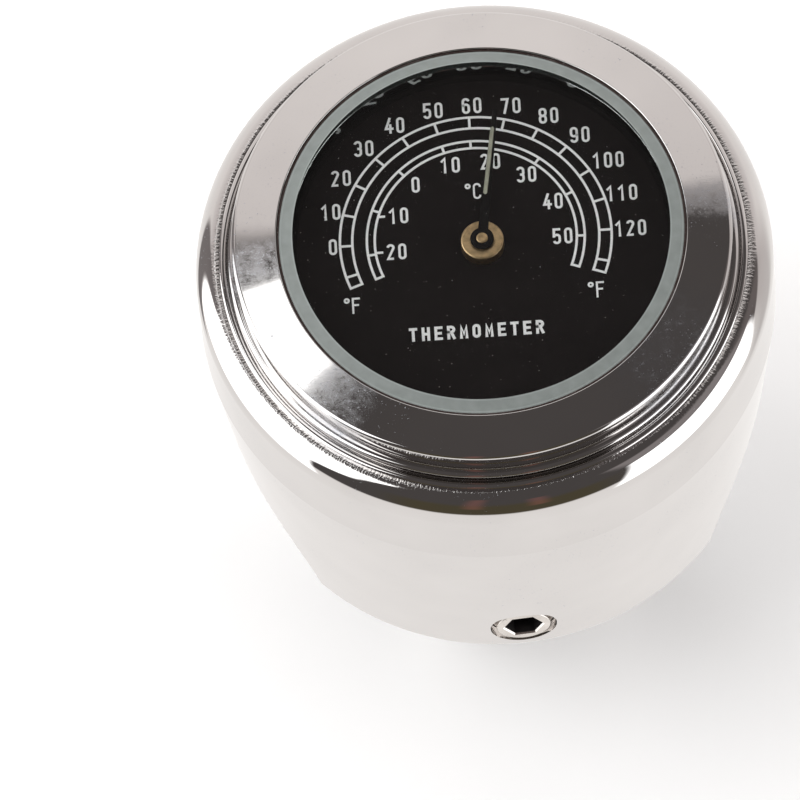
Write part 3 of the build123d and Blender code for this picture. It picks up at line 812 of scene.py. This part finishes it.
def character(sign, w, h):
    """Centre lines of one character, w wide and h high, as (points, closed) strokes."""
    r, m = w / 2, h / 2
    upper, lower = h - r, r
    waist = 0.60 * h - r
    if sign in "0O":
        return [(bend(r, upper, r, 0, 180) + bend(r, lower, r, 180, 360), True)]
    if sign == "1":
        return [([(0.12 * w, 0.80 * h), (0.62 * w, h), (0.62 * w, 0)], False)]
    if sign == "2":
        return [(bend(r, upper, r, 172, -25) + [(0, 0), (w, 0)], False)]
    if sign == "3":
        top = bend(r, upper, r, 172, 0) + [(w, m + 0.5 * r), (0.8 * w, m), (0.4 * w, m)]
        low = [(0.4 * w, m), (0.8 * w, m), (w, m - 0.5 * r)] + bend(r, lower, r, 0, -172)
        return [(top, False), (low, False)]
    if sign == "4":
        slope = [(0.68 * w, h), (0, 0.27 * h), (1.12 * w, 0.27 * h)]
        return [(slope, False), ([(0.78 * w, 0.52 * h), (0.78 * w, 0)], False)]
    if sign == "5":
        flag = [(0.95 * w, h), (0.04 * w, h), (0.0, 0.5 * h)]
        return [(flag, False), (bend(r, waist, r, 158, 0) + bend(r, lower, r, 0, -168), False)]
    if sign in "69":
        strokes = bend(r, upper, r, 8, 180) + bend(r, lower, r, 180, 360) + bend(r, waist, r, 0, 172)
        if sign == "9":
            strokes = [(w - x, h - y) for x, y in strokes]
        return [(strokes, False)]
    if sign == "7":
        return [([(0, h), (w, h), (0.38 * w, 0)], False)]
    if sign == "8":
        return [
            (bend(r, upper, r, 0, 180) + bend(r, m + r, r, 180, 360), True),
            (bend(r, m - r, r, 0, 180) + bend(r, lower, r, 180, 360), True),
        ]
    if sign == "-":
        return [([(0.2 * w, m), (w, m)], False)]
    if sign == "*":
        ring = 0.13 * h
        return [(bend(r, h - ring, ring, 0, 345, 14), True)]
    if sign == "C":
        return [(bend(r, upper, r, -5, 180) + bend(r, lower, r, 180, 365), False)]
    if sign == "F":
        return [([(0, 0), (0, h), (w, h)], False), ([(0, 0.54 * h), (0.8 * w, 0.54 * h)], False)]
    if sign == "T":
        return [([(0, h), (w, h)], False), ([(r, h), (r, 0)], False)]
    if sign == "H":
        return [([(0, 0), (0, h)], False), ([(w, 0), (w, h)], False), ([(0, m), (w, m)], False)]
    if sign == "E":
        return [([(w, h), (0, h), (0, 0), (w, 0)], False), ([(0, m), (0.85 * w, m)], False)]
    if sign == "M":
        return [([(0, 0), (0, h), (r, 0.3 * h), (w, h), (w, 0)], False)]
    if sign == "R":
        q = 0.23 * h
        bowl = [(0, 0), (0, h), (w - q, h)] + bend(w - q, h - q, q, 90, -90) + [(0, h - 2 * q)]
        return [(bowl, False), ([(0.5 * w, h - 2 * q), (w, 0)], False)]
    raise ValueError(f"no character {sign!r}")


class Print:
    """Collects printed lines as thin raised strips on the dial."""

    def __init__(self, base, rise):
        self.work = bmesh.new()
        self.base, self.rise, self.count = base, rise, 0

    def strip(self, points, width, closed=False, caps=True):
        self.count += 1
        half = width / 2
        line = [Vector(p) for p in points]
        line = [p for i, p in enumerate(line) if closed or i == 0 or (p - line[i - 1]).length > 1e-4]
        if caps and not closed:
            line[0] = line[0] + (line[0] - line[1]).normalized() * half
            line[-1] = line[-1] + (line[-1] - line[-2]).normalized() * half
        count = len(line)
        # Each strip is a hair higher than the last, so that no two faces share a plane
        top = self.base + self.rise + self.count * 0.00002
        rows = []
        for i, point in enumerate(line):
            before = line[i - 1] if closed or i else None
            after = line[(i + 1) % count] if closed or i < count - 1 else None
            into = (point - before).normalized() if before is not None else (after - point).normalized()
            out = (after - point).normalized() if after is not None else into
            along = (into + out).normalized() if (into + out).length > 1e-6 else out
            side = Vector((-along.y, along.x))
            reach = half / max(0.6, side.dot(Vector((-out.y, out.x))))
            left, right = point + side * reach, point - side * reach
            rows.append([
                self.work.verts.new((p.x * MM, p.y * MM, z * MM))
                for p, z in ((left, top), (right, top), (right, self.base), (left, self.base))
            ])
        for i in range(count if closed else count - 1):
            a, b = rows[i], rows[(i + 1) % count]
            for k in range(4):
                self.work.faces.new((a[k], a[(k + 1) % 4], b[(k + 1) % 4], b[k]))
        if not closed:
            self.work.faces.new(rows[0][::-1])
            self.work.faces.new(rows[-1])

    def text(self, words, x, y, width, height, stroke, gap):
        """Upright characters, centred on x and y."""
        signs = list(words)
        span = len(signs) * width + (len(signs) - 1) * gap
        left, low = x - span / 2 + stroke / 2, y - height / 2 + stroke / 2
        for i, sign in enumerate(signs):
            for points, closed in character(sign, width - stroke, height - stroke):
                origin = left + i * (width + gap)
                caps = sign not in "2356789C" or len(points) < 6
                self.strip([(origin + px, low + py) for px, py in points], stroke, closed, caps)

    def finish(self, name):
        mesh = bpy.data.meshes.new(name)
        bmesh.ops.recalc_face_normals(self.work, faces=self.work.faces)
        self.work.to_mesh(mesh)
        self.work.free()
        return mesh


# The printed scales: radii of the two arcs, their ends in degrees, and how far to the right of its
# worked-out place a numeral is printed, in millimetres
FAHRENHEIT_RADII = (9.40, 10.34)
FAHRENHEIT_NUDGE = 0.1
FAHRENHEIT_NUDGES = {10: 0.25, 50: 0.25, 60: 0.25, 70: 0.25, 80: 0.25, 110: -0.15}
FAHRENHEIT_ENDS = (-20.7, 200.5)
CELSIUS_RADII = (7.69, 8.29)
CELSIUS_NUDGES = {-20: 0.05, -10: -0.05, 0: 0.1, 10: 0.1, 20: 0.1}
CELSIUS_ENDS = (-21.2, 201.0)


def fahrenheit_angle(value):
    """Direction of a Fahrenheit mark, in degrees."""
    return 180 - 1.5 * value


def celsius_angle(value):
    """Direction of a Celsius mark, in degrees."""
    return 132.4 - 2.7 * value


class THERMOMETER_OT_dial(bpy.types.Operator):
    """Black dial plate with its printed scales"""

    bl_idname = "thermometer.dial"
    bl_label = "Make Dial"

    def execute(self, context):
        sizes, finish = context.scene.thermometer_sizes, context.scene.thermometer_finish
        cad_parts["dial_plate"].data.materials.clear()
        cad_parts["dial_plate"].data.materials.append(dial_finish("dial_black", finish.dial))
        stroke, height = sizes.print_stroke / MM, sizes.numeral_height / MM
        width, gap = sizes.numeral_width / MM, sizes.numeral_gap / MM
        numeral_space, celsius_radius = 0.335, 6.6
        sheet = Print(DIAL_TOP + 0.001, sizes.print_rise / MM)

        def at(radius, angle):
            turn = math.radians(angle)
            return radius * math.cos(turn), radius * math.sin(turn)

        def band(radii, ends, ticks):
            inner, outer = radii
            for radius in radii:
                sheet.strip(bend(0, 0, radius, *ends, 120), stroke, caps=False)
            for angle in (*ends, *ticks):
                sheet.strip([at(inner, angle), at(outer, angle)], stroke)

        band(FAHRENHEIT_RADII, FAHRENHEIT_ENDS, [fahrenheit_angle(v) for v in range(-10, 131, 10)])
        band(CELSIUS_RADII, CELSIUS_ENDS, [celsius_angle(v) for v in range(-20, 51, 10)] + [90])
        for value in range(0, 121, 10):
            label = str(value)
            angle = fahrenheit_angle(value)
            half_wide = (len(label) * (width + gap) - gap) / 2 * (0.85 if value > 99 else 1)
            sideways, upward = (abs(part) for part in at(1, angle))
            radius = FAHRENHEIT_RADII[1] + numeral_space + sideways * half_wide + upward * height / 2
            x, y = at(radius, angle)
            x += FAHRENHEIT_NUDGES.get(value, FAHRENHEIT_NUDGE)
            sheet.text(label, x, y, width, height, stroke, gap)
        for value in range(-20, 51, 10):
            label = str(value)
            x, y = at(celsius_radius, celsius_angle(value))
            sheet.text(label, x + CELSIUS_NUDGES.get(value, 0), y, width, height, stroke, gap)
        for x, y, sign in ((-0.05, 4.0, "C"), (-9.7, -5.1, "F"), (8.86, -5.05, "F")):
            sheet.text("*" + sign, x, y, width, height, stroke * 0.8, gap * 0.3)
        sheet.text("THERMOMETER", -0.33, -7.9, 0.63, 1.15, 0.22, 0.333)
        mesh = sheet.finish("dial_print")
        shift = Vector((*sizes.print_shift, 0))
        mesh.transform(Matrix.Rotation(sizes.print_turn, 4, "Z") @ Matrix.Translation(shift))
        marks = scene_object("dial_print", mesh, ink_finish("dial_ink", finish.ink))
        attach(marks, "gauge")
        return {"FINISHED"}


class THERMOMETER_OT_pointer(bpy.types.Operator):
    """Pointer with its hub and rib, the brass arbor and the bush in the dial"""

    bl_idname = "thermometer.pointer"
    bl_label = "Make Pointer"

    def execute(self, context):
        sizes, finish = context.scene.thermometer_sizes, context.scene.thermometer_finish
        bore, body, rounding = 0.5, 1.0, 0.16
        bush_outline = [
            (bore, BUSH_FOOT), (body, BUSH_FOOT), (body, DIAL_TOP + 0.005),
            (BUSH_RADIUS - 0.03, DIAL_TOP + 0.005),
            *flat((BUSH_RADIUS, DIAL_TOP + 0.04), (BUSH_RADIUS, BUSH_TOP - rounding), 0.1, 0.01),
            *curve(BUSH_RADIUS - rounding, BUSH_TOP - rounding, rounding, rounding, 0, 90, 8),
            *flat((BUSH_RADIUS - 0.17, BUSH_TOP), (bore + 0.05, BUSH_TOP), None, 0.01),
            (bore, BUSH_TOP - 0.05),
        ]
        brass = brass_finish("brass", finish.brass)
        bush = scene_object("dial_bush", turned_mesh("dial_bush", bush_outline, 128), brass)
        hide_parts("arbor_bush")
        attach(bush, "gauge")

        shaft, pivot = 0.45, 0.3
        shoulder = ARBOR_FOOT + 1.25
        arbor_outline = [
            (0, ARBOR_FOOT), (pivot - 0.05, ARBOR_FOOT), (pivot, ARBOR_FOOT + 0.05), (pivot, shoulder),
            (shaft, shoulder), (shaft, ARBOR_TOP - 0.12),
            *curve(shaft - 0.1, ARBOR_TOP - 0.12, 0.1, 0.1, 0, 90, 6),
            (0.1, ARBOR_TOP - 0.02), (0, ARBOR_TOP - 0.05),
        ]
        arbor = scene_object("arbor_pin", turned_mesh("arbor_pin", arbor_outline, 64), brass)
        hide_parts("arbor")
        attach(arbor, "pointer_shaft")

        # Blade: a flat strip with bevelled sides that narrows from the hub to the tip
        base, thick, bevel = POINTER_UNDER, 0.15, 0.05
        sections = []
        for along, half in ((0, 0.4), (0.5, 0.39), (10.9, 0.184), (11.05, 0.16), (11.1, 0.10)):
            low, high = (0.02, thick) if along < 11 else (0.04, thick - 0.03)
            side = [(half, base + low), (half, base + high - bevel), (half - bevel, base + high)]
            sections.append([
                *((along, across, z) for across, z in side),
                *((along, -across, z) for across, z in reversed(side)),
            ])
        blade = scene_object(
            "pointer_blade", lofted_mesh("pointer_blade", sections),
            paint_finish("pointer_black", finish.pointer, 0.5, 0.08),
        )
        hub, eye = 0.9, 0.46
        hub_outline = [
            (eye, base), (hub - 0.06, base), (hub, base + 0.06),
            *flat((hub, base + 0.06), (hub, POINTER_TOP - 0.1), 0.1, 0.01),
            *curve(hub - 0.1, POINTER_TOP - 0.1, 0.1, 0.1, 0, 90, 6),
            *curve(eye + 0.08, POINTER_TOP - 0.08, 0.08, 0.08, 90, 180, 6),
        ]
        combine(blade, "UNION", turned_mesh("hub", hub_outline, 96))
        drill = [(0, base - 5), (eye, base - 5), (eye, base + 5), (0, base + 5)]
        combine(blade, "DIFFERENCE", turned_mesh("bore", drill, 96))
        # Rib pressed along the blade's left side, painted pale olive as a painted highlight where the blade
        # catches the light
        rib_sections = []
        top = base + thick - 0.02
        for along, middle, half, rise in (
            (3.75, 0.1, 0.06, 0.0), (3.85, 0.1, 0.17, 0.05), (9.4, 0.05, 0.16, 0.05), (9.55, 0.05, 0.05, 0.0),
        ):
            crest, half_crest = top + 0.025 + rise, half * 0.7
            rib_sections.append([
                (along, middle + half, top), (along, middle + half_crest, crest),
                (along, middle - half_crest, crest), (along, middle - half, top),
            ])
        # The rib's pale colour is a painted highlight, not the colour of the pointer's paint
        rib = scene_object(
            "pointer_highlight_rib", lofted_mesh("pointer_highlight_rib", rib_sections),
            paint_finish("pointer_highlight_rib", finish.rib, 0.45),
        )
        turn = Matrix.Rotation(sizes.pointer_heading, 4, "Z")
        for piece in (blade, rib):
            piece.data.transform(turn)
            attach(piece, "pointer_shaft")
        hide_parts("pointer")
        return {"FINISHED"}


# ------------------------------------------------------------------ operators: clamp and screw

class THERMOMETER_OT_clamp(bpy.types.Operator):
    """Hinged strap, its pin and the two rubber liners"""

    bl_idname = "thermometer.clamp"
    bl_label = "Make Clamp"

    def execute(self, context):
        finish = context.scene.thermometer_finish
        inner = STRAP_OUTER - STRAP_THICKNESS
        corner, edge_round = 3.0, 0.3
        sections = []
        # Tongue, from its rounded tip down to the half ring
        for i in range(10):
            height = TONGUE_TOP - corner * (1 - math.cos(math.pi / 2 * i / 9))
            half = STRAP_HALF - corner + math.sqrt(max(0, corner**2 - (height - TONGUE_TOP + corner) ** 2))
            row = rounded_section(max(half, STRAP_HALF - corner + 0.35), inner, STRAP_OUTER, edge_round)
            sections.append([(x, -r, height) for x, r in row])
        for i in range(97):
            turn = math.radians(180 + 180 * i / 96)
            row = rounded_section(STRAP_HALF, inner, STRAP_OUTER, edge_round)
            sections.append([(x, r * math.cos(turn), r * math.sin(turn)) for x, r in row])
        row = rounded_section(STRAP_HALF, inner, STRAP_OUTER, edge_round)
        sections.append([(x, r, PIN_Z - 1.4) for x, r in row])
        strap = scene_object("strap_band", lofted_mesh("strap_band", sections))
        eye = PIN_RADIUS + 1.05
        hole = PIN_RADIUS + PIN_CLEARANCE
        barrel = [
            (hole, -STRAP_HALF), (eye - 0.2, -STRAP_HALF), (eye, -STRAP_HALF + 0.2),
            *flat((eye, -STRAP_HALF + 0.2), (eye, STRAP_HALF - 0.2), 2.0),
            (eye - 0.2, STRAP_HALF), (hole, STRAP_HALF),
        ]
        combine(strap, "UNION", turned_mesh("barrel", barrel, 96, "X", (0, PIN_Y, PIN_Z)))
        drill = [(0, -10), (hole, -10), (hole, 10), (0, 10)]
        combine(strap, "DIFFERENCE", turned_mesh("hole", drill, 64, "X", (0, PIN_Y, PIN_Z)))
        strap.data.materials.append(chrome_finish("chrome_strap", finish.chrome))
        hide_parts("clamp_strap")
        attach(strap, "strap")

        reach = PIN_HIGH.x / MM
        pin_outline = [
            (0, -reach), *curve(PIN_RADIUS - 0.2, -reach + 0.2, 0.2, 0.2, -90, 0, 5),
            *flat((PIN_RADIUS, -reach + 0.2), (PIN_RADIUS, reach - 0.2), 4.0),
            *curve(PIN_RADIUS - 0.2, reach - 0.2, 0.2, 0.2, 0, 90, 5), (0, reach),
        ]
        pin = scene_object(
            "hinge_pin", turned_mesh("hinge_pin", pin_outline, 64, "X", (0, PIN_Y, PIN_Z)),
            metal_finish("pin_steel", finish.steel, 0.15, 0.3, (0.3, 3, 3)),
        )
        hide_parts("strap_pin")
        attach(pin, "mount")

        rubber = rubber_finish("liner_rubber", finish.rubber)
        pad_thickness, groove_depth = 0.85, 0.16
        pad_inner = inner - pad_thickness
        for name, node, body, start, sweep in (
            ("saddle_liner", "saddle_pad", "mount", 43, 94), ("strap_liner", "strap_pad", "strap", 185, 170),
        ):
            steps = sweep * 2
            sections = []
            for i in range(steps + 1):
                angle = start + sweep * i / steps
                groove = groove_depth if i % 12 in (5, 6, 7) and 6 < i < steps - 6 else 0.0
                row = rounded_section(PAD_HALF - 0.01, pad_inner + groove, inner - 0.005, 0.15)
                turn = math.radians(angle)
                sections.append([(x, r * math.cos(turn), r * math.sin(turn)) for x, r in row])
            liner = scene_object(name, lofted_mesh(name, sections), rubber)
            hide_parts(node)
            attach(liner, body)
        return {"FINISHED"}


class THERMOMETER_OT_screw(bpy.types.Operator):
    """Set screw with its hexagon socket"""

    bl_idname = "thermometer.screw"
    bl_label = "Make Set Screw"

    def execute(self, context):
        tip, head = -SCREW_TIP, -SCREW_HEAD
        root, crest, pitch = SCREW_RADIUS - 0.4, SCREW_RADIUS, 0.8
        point, point_length, rounding = 1.25, 0.35, 0.13
        at = tip + point_length
        outline = [(0, tip), (point, tip), (root, at)]
        while at + pitch < head - 0.3:
            outline += [(crest, at + pitch * 0.4), (crest, at + pitch * 0.6), (root, at + pitch)]
            at += pitch
        outline += [
            (root, head - 0.15), *curve(root - rounding, head - rounding, rounding, rounding, 0, 90, 4),
            *flat((root - rounding, head), (1.2, head)), (0, head),
        ]
        screw = scene_object("grub_screw", turned_mesh("grub_screw", outline, 96, "Y", (0, 0, SCREW_Z)))
        half_flats, socket_depth = 1.3, 2.2
        corner = half_flats / math.cos(math.radians(30))
        depth = head - socket_depth
        hexagon = bmesh.new()
        rings = []
        for y, r in ((depth - 0.35, 0.0), (depth, corner), (head - 0.12, corner), (head + 0.1, corner + 0.2)):
            turns = [math.radians(60 * k + 2) for k in range(6)]
            places = [(r * MM * math.cos(t), -y * MM, (SCREW_Z + r * math.sin(t)) * MM) for t in turns]
            rings.append([hexagon.verts.new(place) for place in places])
        for low, high in zip(rings, rings[1:]):
            for k in range(6):
                hexagon.faces.new((low[k], low[(k + 1) % 6], high[(k + 1) % 6], high[k]))
        hexagon.faces.new(rings[-1])
        bmesh.ops.remove_doubles(hexagon, verts=hexagon.verts, dist=1e-7)
        bmesh.ops.recalc_face_normals(hexagon, faces=hexagon.faces)
        cutter = bpy.data.meshes.new("socket")
        hexagon.to_mesh(cutter)
        hexagon.free()
        combine(screw, "DIFFERENCE", cutter)
        screw.data.materials.append(metal_finish("screw_steel", (0.78, 0.74, 0.70), 0.22, 0.38, (1, 3, 1)))
        # Painted shade: near-black paint on the socket's walls and floor stands in for the shade inside the
        # hexagon hole
        screw.data.materials.append(paint_finish("socket_painted_shade", (0.008, 0.006, 0.006), 0.6))
        for face in screw.data.polygons:
            middle = face.center / MM
            inside = math.hypot(middle.x, middle.z - SCREW_Z) < corner and -middle.y < head - 0.02
            face.material_index = int(inside and -middle.y > depth - 0.4)
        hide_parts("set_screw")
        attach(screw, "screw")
        return {"FINISHED"}


class THERMOMETER_OT_movement(bpy.types.Operator):
    """Finishes of the can, seals and movement that the frame already shapes"""

    bl_idname = "thermometer.movement"
    bl_label = "Finish Movement"

    def execute(self, context):
        finish = context.scene.thermometer_finish
        brass = brass_finish("movement_brass", finish.brass, rings=False)
        finishes = {
            "back_can": metal_finish("can_steel", finish.steel, 0.3, 0.45, (4, 0.4, 1)),
            "gauge_o_ring": rubber_finish("ring_rubber", (0.012, 0.012, 0.012), 0.4),
            "seat_washer": foam_finish("foam"),
            "bridge": metal_finish("bridge_brass", (0.60, 0.43, 0.20), 0.25, 0.4, (0.4, 4, 1)),
            "bridge_screws": metal_finish("movement_screws", finish.steel, 0.2, 0.35, (3, 3, 1)),
            "bridge_bearing": brass,
            "coil_collet": brass,
            "coil_stud": brass,
            "bimetal_coil": metal_finish("bimetal", (0.55, 0.46, 0.36), 0.22, 0.38, (0.5, 0.5, 6)),
        }
        for node, material in finishes.items():
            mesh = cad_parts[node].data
            mesh.materials.clear()
            mesh.materials.append(material)
        return {"FINISHED"}


# ------------------------------------------------------------------ stage

def studio_world(strength):
    """A soft studio that chrome mirrors: a pale table and rear wall, bright side panels and a dark front."""
    world = bpy.data.worlds.new("studio")
    world.use_nodes = True
    g = Graph(world.node_tree)
    direction = g.add("ShaderNodeTexCoord").outputs["Generated"]
    x, y, z = g.parts_of(direction)
    azimuth = g.math("DEGREES", g.math("ARCTAN2", x, g.math("MULTIPLY", y, -1)))
    elevation = g.math("DEGREES", g.math("ARCSINE", z))

    def panel(left, right, low, high, soft=2.0, lean=0.0):
        side = g.math("SUBTRACT", azimuth, g.product(elevation, lean))
        return g.math("MULTIPLY", g.band(side, left, right, soft), g.band(elevation, low, high, soft))

    sideways = g.smooth(g.math("ABSOLUTE", x), 0.05, 0.5)
    rear = g.mix(g.product(sideways, g.smooth(elevation, 10, 50)), (0.93, 0.885, 0.865), (0.66, 0.61, 0.60))
    pale = g.mix(g.smooth(elevation, -40, 20), (1.0, 0.975, 0.955), rear)
    # Dark front and ceiling
    behind = g.math("SUBTRACT", y, g.math("MULTIPLY", z, 0.57))
    front = g.math("MULTIPLY", g.smooth(elevation, -19, -13), g.smooth(behind, 0.03, -0.03))
    olive = panel(-35, 30, -20, 24, 9)
    dark = g.mix(olive, (0.082, 0.074, 0.072), (0.085, 0.072, 0.045))
    colour = g.mix(front, pale, dark)
    for left, right, low, high in ((-14, -9, 8, 56), (6, 11, 6, 40)):
        colour = g.mix(g.product(panel(left, right, low, high, 2.5), 0.3), colour, (0.42, 0.16, 0.13))
    # Bright panels
    inner = g.smooth(elevation, 0, 32)
    left_edge = g.math("SUBTRACT", azimuth, g.product(inner, 12))
    left_panel = g.math("MULTIPLY", g.smooth(azimuth, -120, -117), g.smooth(left_edge, -60, -63))
    left_panel = g.math("MULTIPLY", left_panel, g.band(elevation, -31, 66, 3))
    colour = g.mix(left_panel, colour, (2.3, 2.3, 2.3))
    colour = g.mix(panel(36, 92, -30, 31, 2.0, 0.1), colour, (2.3, 2.3, 2.3))
    colour = g.mix(g.product(panel(38, 96, 33, 58, 4), 0.8), colour, (0.34, 0.31, 0.31))
    # Dark gaps at the ends of the panels
    colour = g.mix(g.product(panel(-131, -119, -46, 50, 1.5), 0.9), colour, (0.16, 0.14, 0.14))
    colour = g.mix(g.product(panel(93, 117, -46, 50, 8), 0.45), colour, (0.28, 0.24, 0.235))
    # Small bright panel overhead, behind the dial's left
    over_x = g.math("DIVIDE", x, g.math("MAXIMUM", z, 0.05))
    over_y = g.math("DIVIDE", y, g.math("MAXIMUM", z, 0.05))
    along = g.math("SUBTRACT", g.product(over_x, 0.39), g.product(over_y, 0.92))
    across = g.math("ADD", g.product(over_x, 0.92), g.product(over_y, 0.39))
    overhead = g.math("MULTIPLY", g.band(along, -0.556, -0.366, 0.006), g.band(across, -0.26, -0.03, 0.01))
    colour = g.mix(overhead, colour, (2.0, 2.0, 2.0))
    seen = g.add("ShaderNodeLightPath").outputs["Is Camera Ray"]
    shown = g.mix(seen, colour, (0.95, 0.95, 0.95))
    background = g.add("ShaderNodeBackground", {"Color": shown, "Strength": strength})
    g.add("ShaderNodeOutputWorld", {"Surface": background.outputs[0]})
    return world


class THERMOMETER_OT_stage(bpy.types.Operator):
    """Pale floor, soft studio light and the camera"""

    bl_idname = "thermometer.stage"
    bl_label = "Set Stage"

    def execute(self, context):
        scene, stage = context.scene, context.scene.thermometer_stage
        scene.world = studio_world(stage.studio_strength)
        scene.view_settings.view_transform = "Standard"

        size, level = stage.floor_size, cad_low.z
        mesh = bpy.data.meshes.new("floor")
        corners = [(-size, -size, level), (size, -size, level), (size, size, level), (-size, size, level)]
        mesh.from_pydata(corners, [], [(0, 1, 2, 3)])
        material, g = new_material("pale_floor")
        paper = g.noise(g.millimetres(), 0.05, 2.0)
        g.surface({
            "Base Color": g.mix(paper, (0.95, 0.95, 0.95), (0.98, 0.98, 0.98)),
            "Roughness": 0.9,
            "Specular IOR Level": 0.0,
        })
        floor = scene_object("floor", mesh, material)
        floor.visible_glossy = False

        aim = Vector((0, 0, LENS_TOP * MM))
        for name, spot, width, share in (
            ("left_softbox", (-0.45, 0.05, 0.42), 0.7, 1.0),
            ("right_softbox", (0.45, -0.05, 0.42), 0.7, 1.0),
            ("rear_softbox", (0.0, 0.42, 0.5), 0.7, 0.8),
        ):
            lamp = bpy.data.lights.new(name, "AREA")
            lamp.shape = "SQUARE"
            lamp.size = width
            lamp.energy = stage.softbox_power * share
            light = bpy.data.objects.new(name, lamp)
            light.location = spot
            light.rotation_euler = (Vector(spot) - aim).to_track_quat("Z", "Y").to_euler()
            light.visible_glossy = False
            light.visible_transmission = False
            light.visible_camera = False
            scene.collection.objects.link(light)

        a, e, roll = stage.azimuth, stage.elevation, stage.roll
        back = Vector((math.sin(a) * math.cos(e), -math.cos(a) * math.cos(e), math.sin(e)))
        level_right = Vector((math.cos(a), math.sin(a), 0))
        level_up = back.cross(level_right)
        right = math.cos(roll) * level_right - math.sin(roll) * level_up
        up = math.sin(roll) * level_right + math.cos(roll) * level_up
        place = aim + back * stage.camera_distance - right * stage.aim[0] - up * stage.aim[1]
        data = bpy.data.cameras.new("camera")
        data.lens = stage.camera_lens
        data.sensor_width = 36
        data.clip_start, data.clip_end = 0.01, 10
        camera = bpy.data.objects.new("camera", data)
        camera.matrix_world = Matrix.Translation(place) @ Matrix((right, up, back)).transposed().to_4x4()
        scene.collection.objects.link(camera)
        scene.camera = camera
        return {"FINISHED"}


class THERMOMETER_PT_panel(bpy.types.Panel):
    """Lists the settings and the steps of the build"""

    bl_idname = "THERMOMETER_PT_panel"
    bl_label = "Dial Thermometer"
    bl_space_type = "VIEW_3D"
    bl_region_type = "UI"
    bl_category = "Thermometer"

    def draw(self, context):
        for group in ("thermometer_sizes", "thermometer_finish", "thermometer_stage"):
            settings = getattr(context.scene, group)
            box = self.layout.box()
            for name in settings.__annotations__:
                box.prop(settings, name)
        for operator in OPERATORS:
            self.layout.operator(operator.bl_idname)


GROUPS = {
    "thermometer_sizes": ThermometerSizes,
    "thermometer_finish": ThermometerFinish,
    "thermometer_stage": ThermometerStage,
}
OPERATORS = (
    THERMOMETER_OT_housing,
    THERMOMETER_OT_bezel,
    THERMOMETER_OT_glass,
    THERMOMETER_OT_dial,
    THERMOMETER_OT_pointer,
    THERMOMETER_OT_clamp,
    THERMOMETER_OT_screw,
    THERMOMETER_OT_movement,
    THERMOMETER_OT_stage,
)
CLASSES = (*GROUPS.values(), *OPERATORS, THERMOMETER_PT_panel)


def register():
    for item in CLASSES:
        bpy.utils.register_class(item)
    for name, group in GROUPS.items():
        setattr(bpy.types.Scene, name, bpy.props.PointerProperty(type=group))


def unregister():
    for name in GROUPS:
        delattr(bpy.types.Scene, name)
    for item in reversed(CLASSES):
        bpy.utils.unregister_class(item)


def main():
    register()
    bpy.ops.thermometer.housing()
    bpy.ops.thermometer.bezel()
    bpy.ops.thermometer.glass()
    bpy.ops.thermometer.dial()
    bpy.ops.thermometer.pointer()
    bpy.ops.thermometer.clamp()
    bpy.ops.thermometer.screw()
    bpy.ops.thermometer.movement()
    bpy.ops.thermometer.stage()


if __name__ == "__main__":
    main()
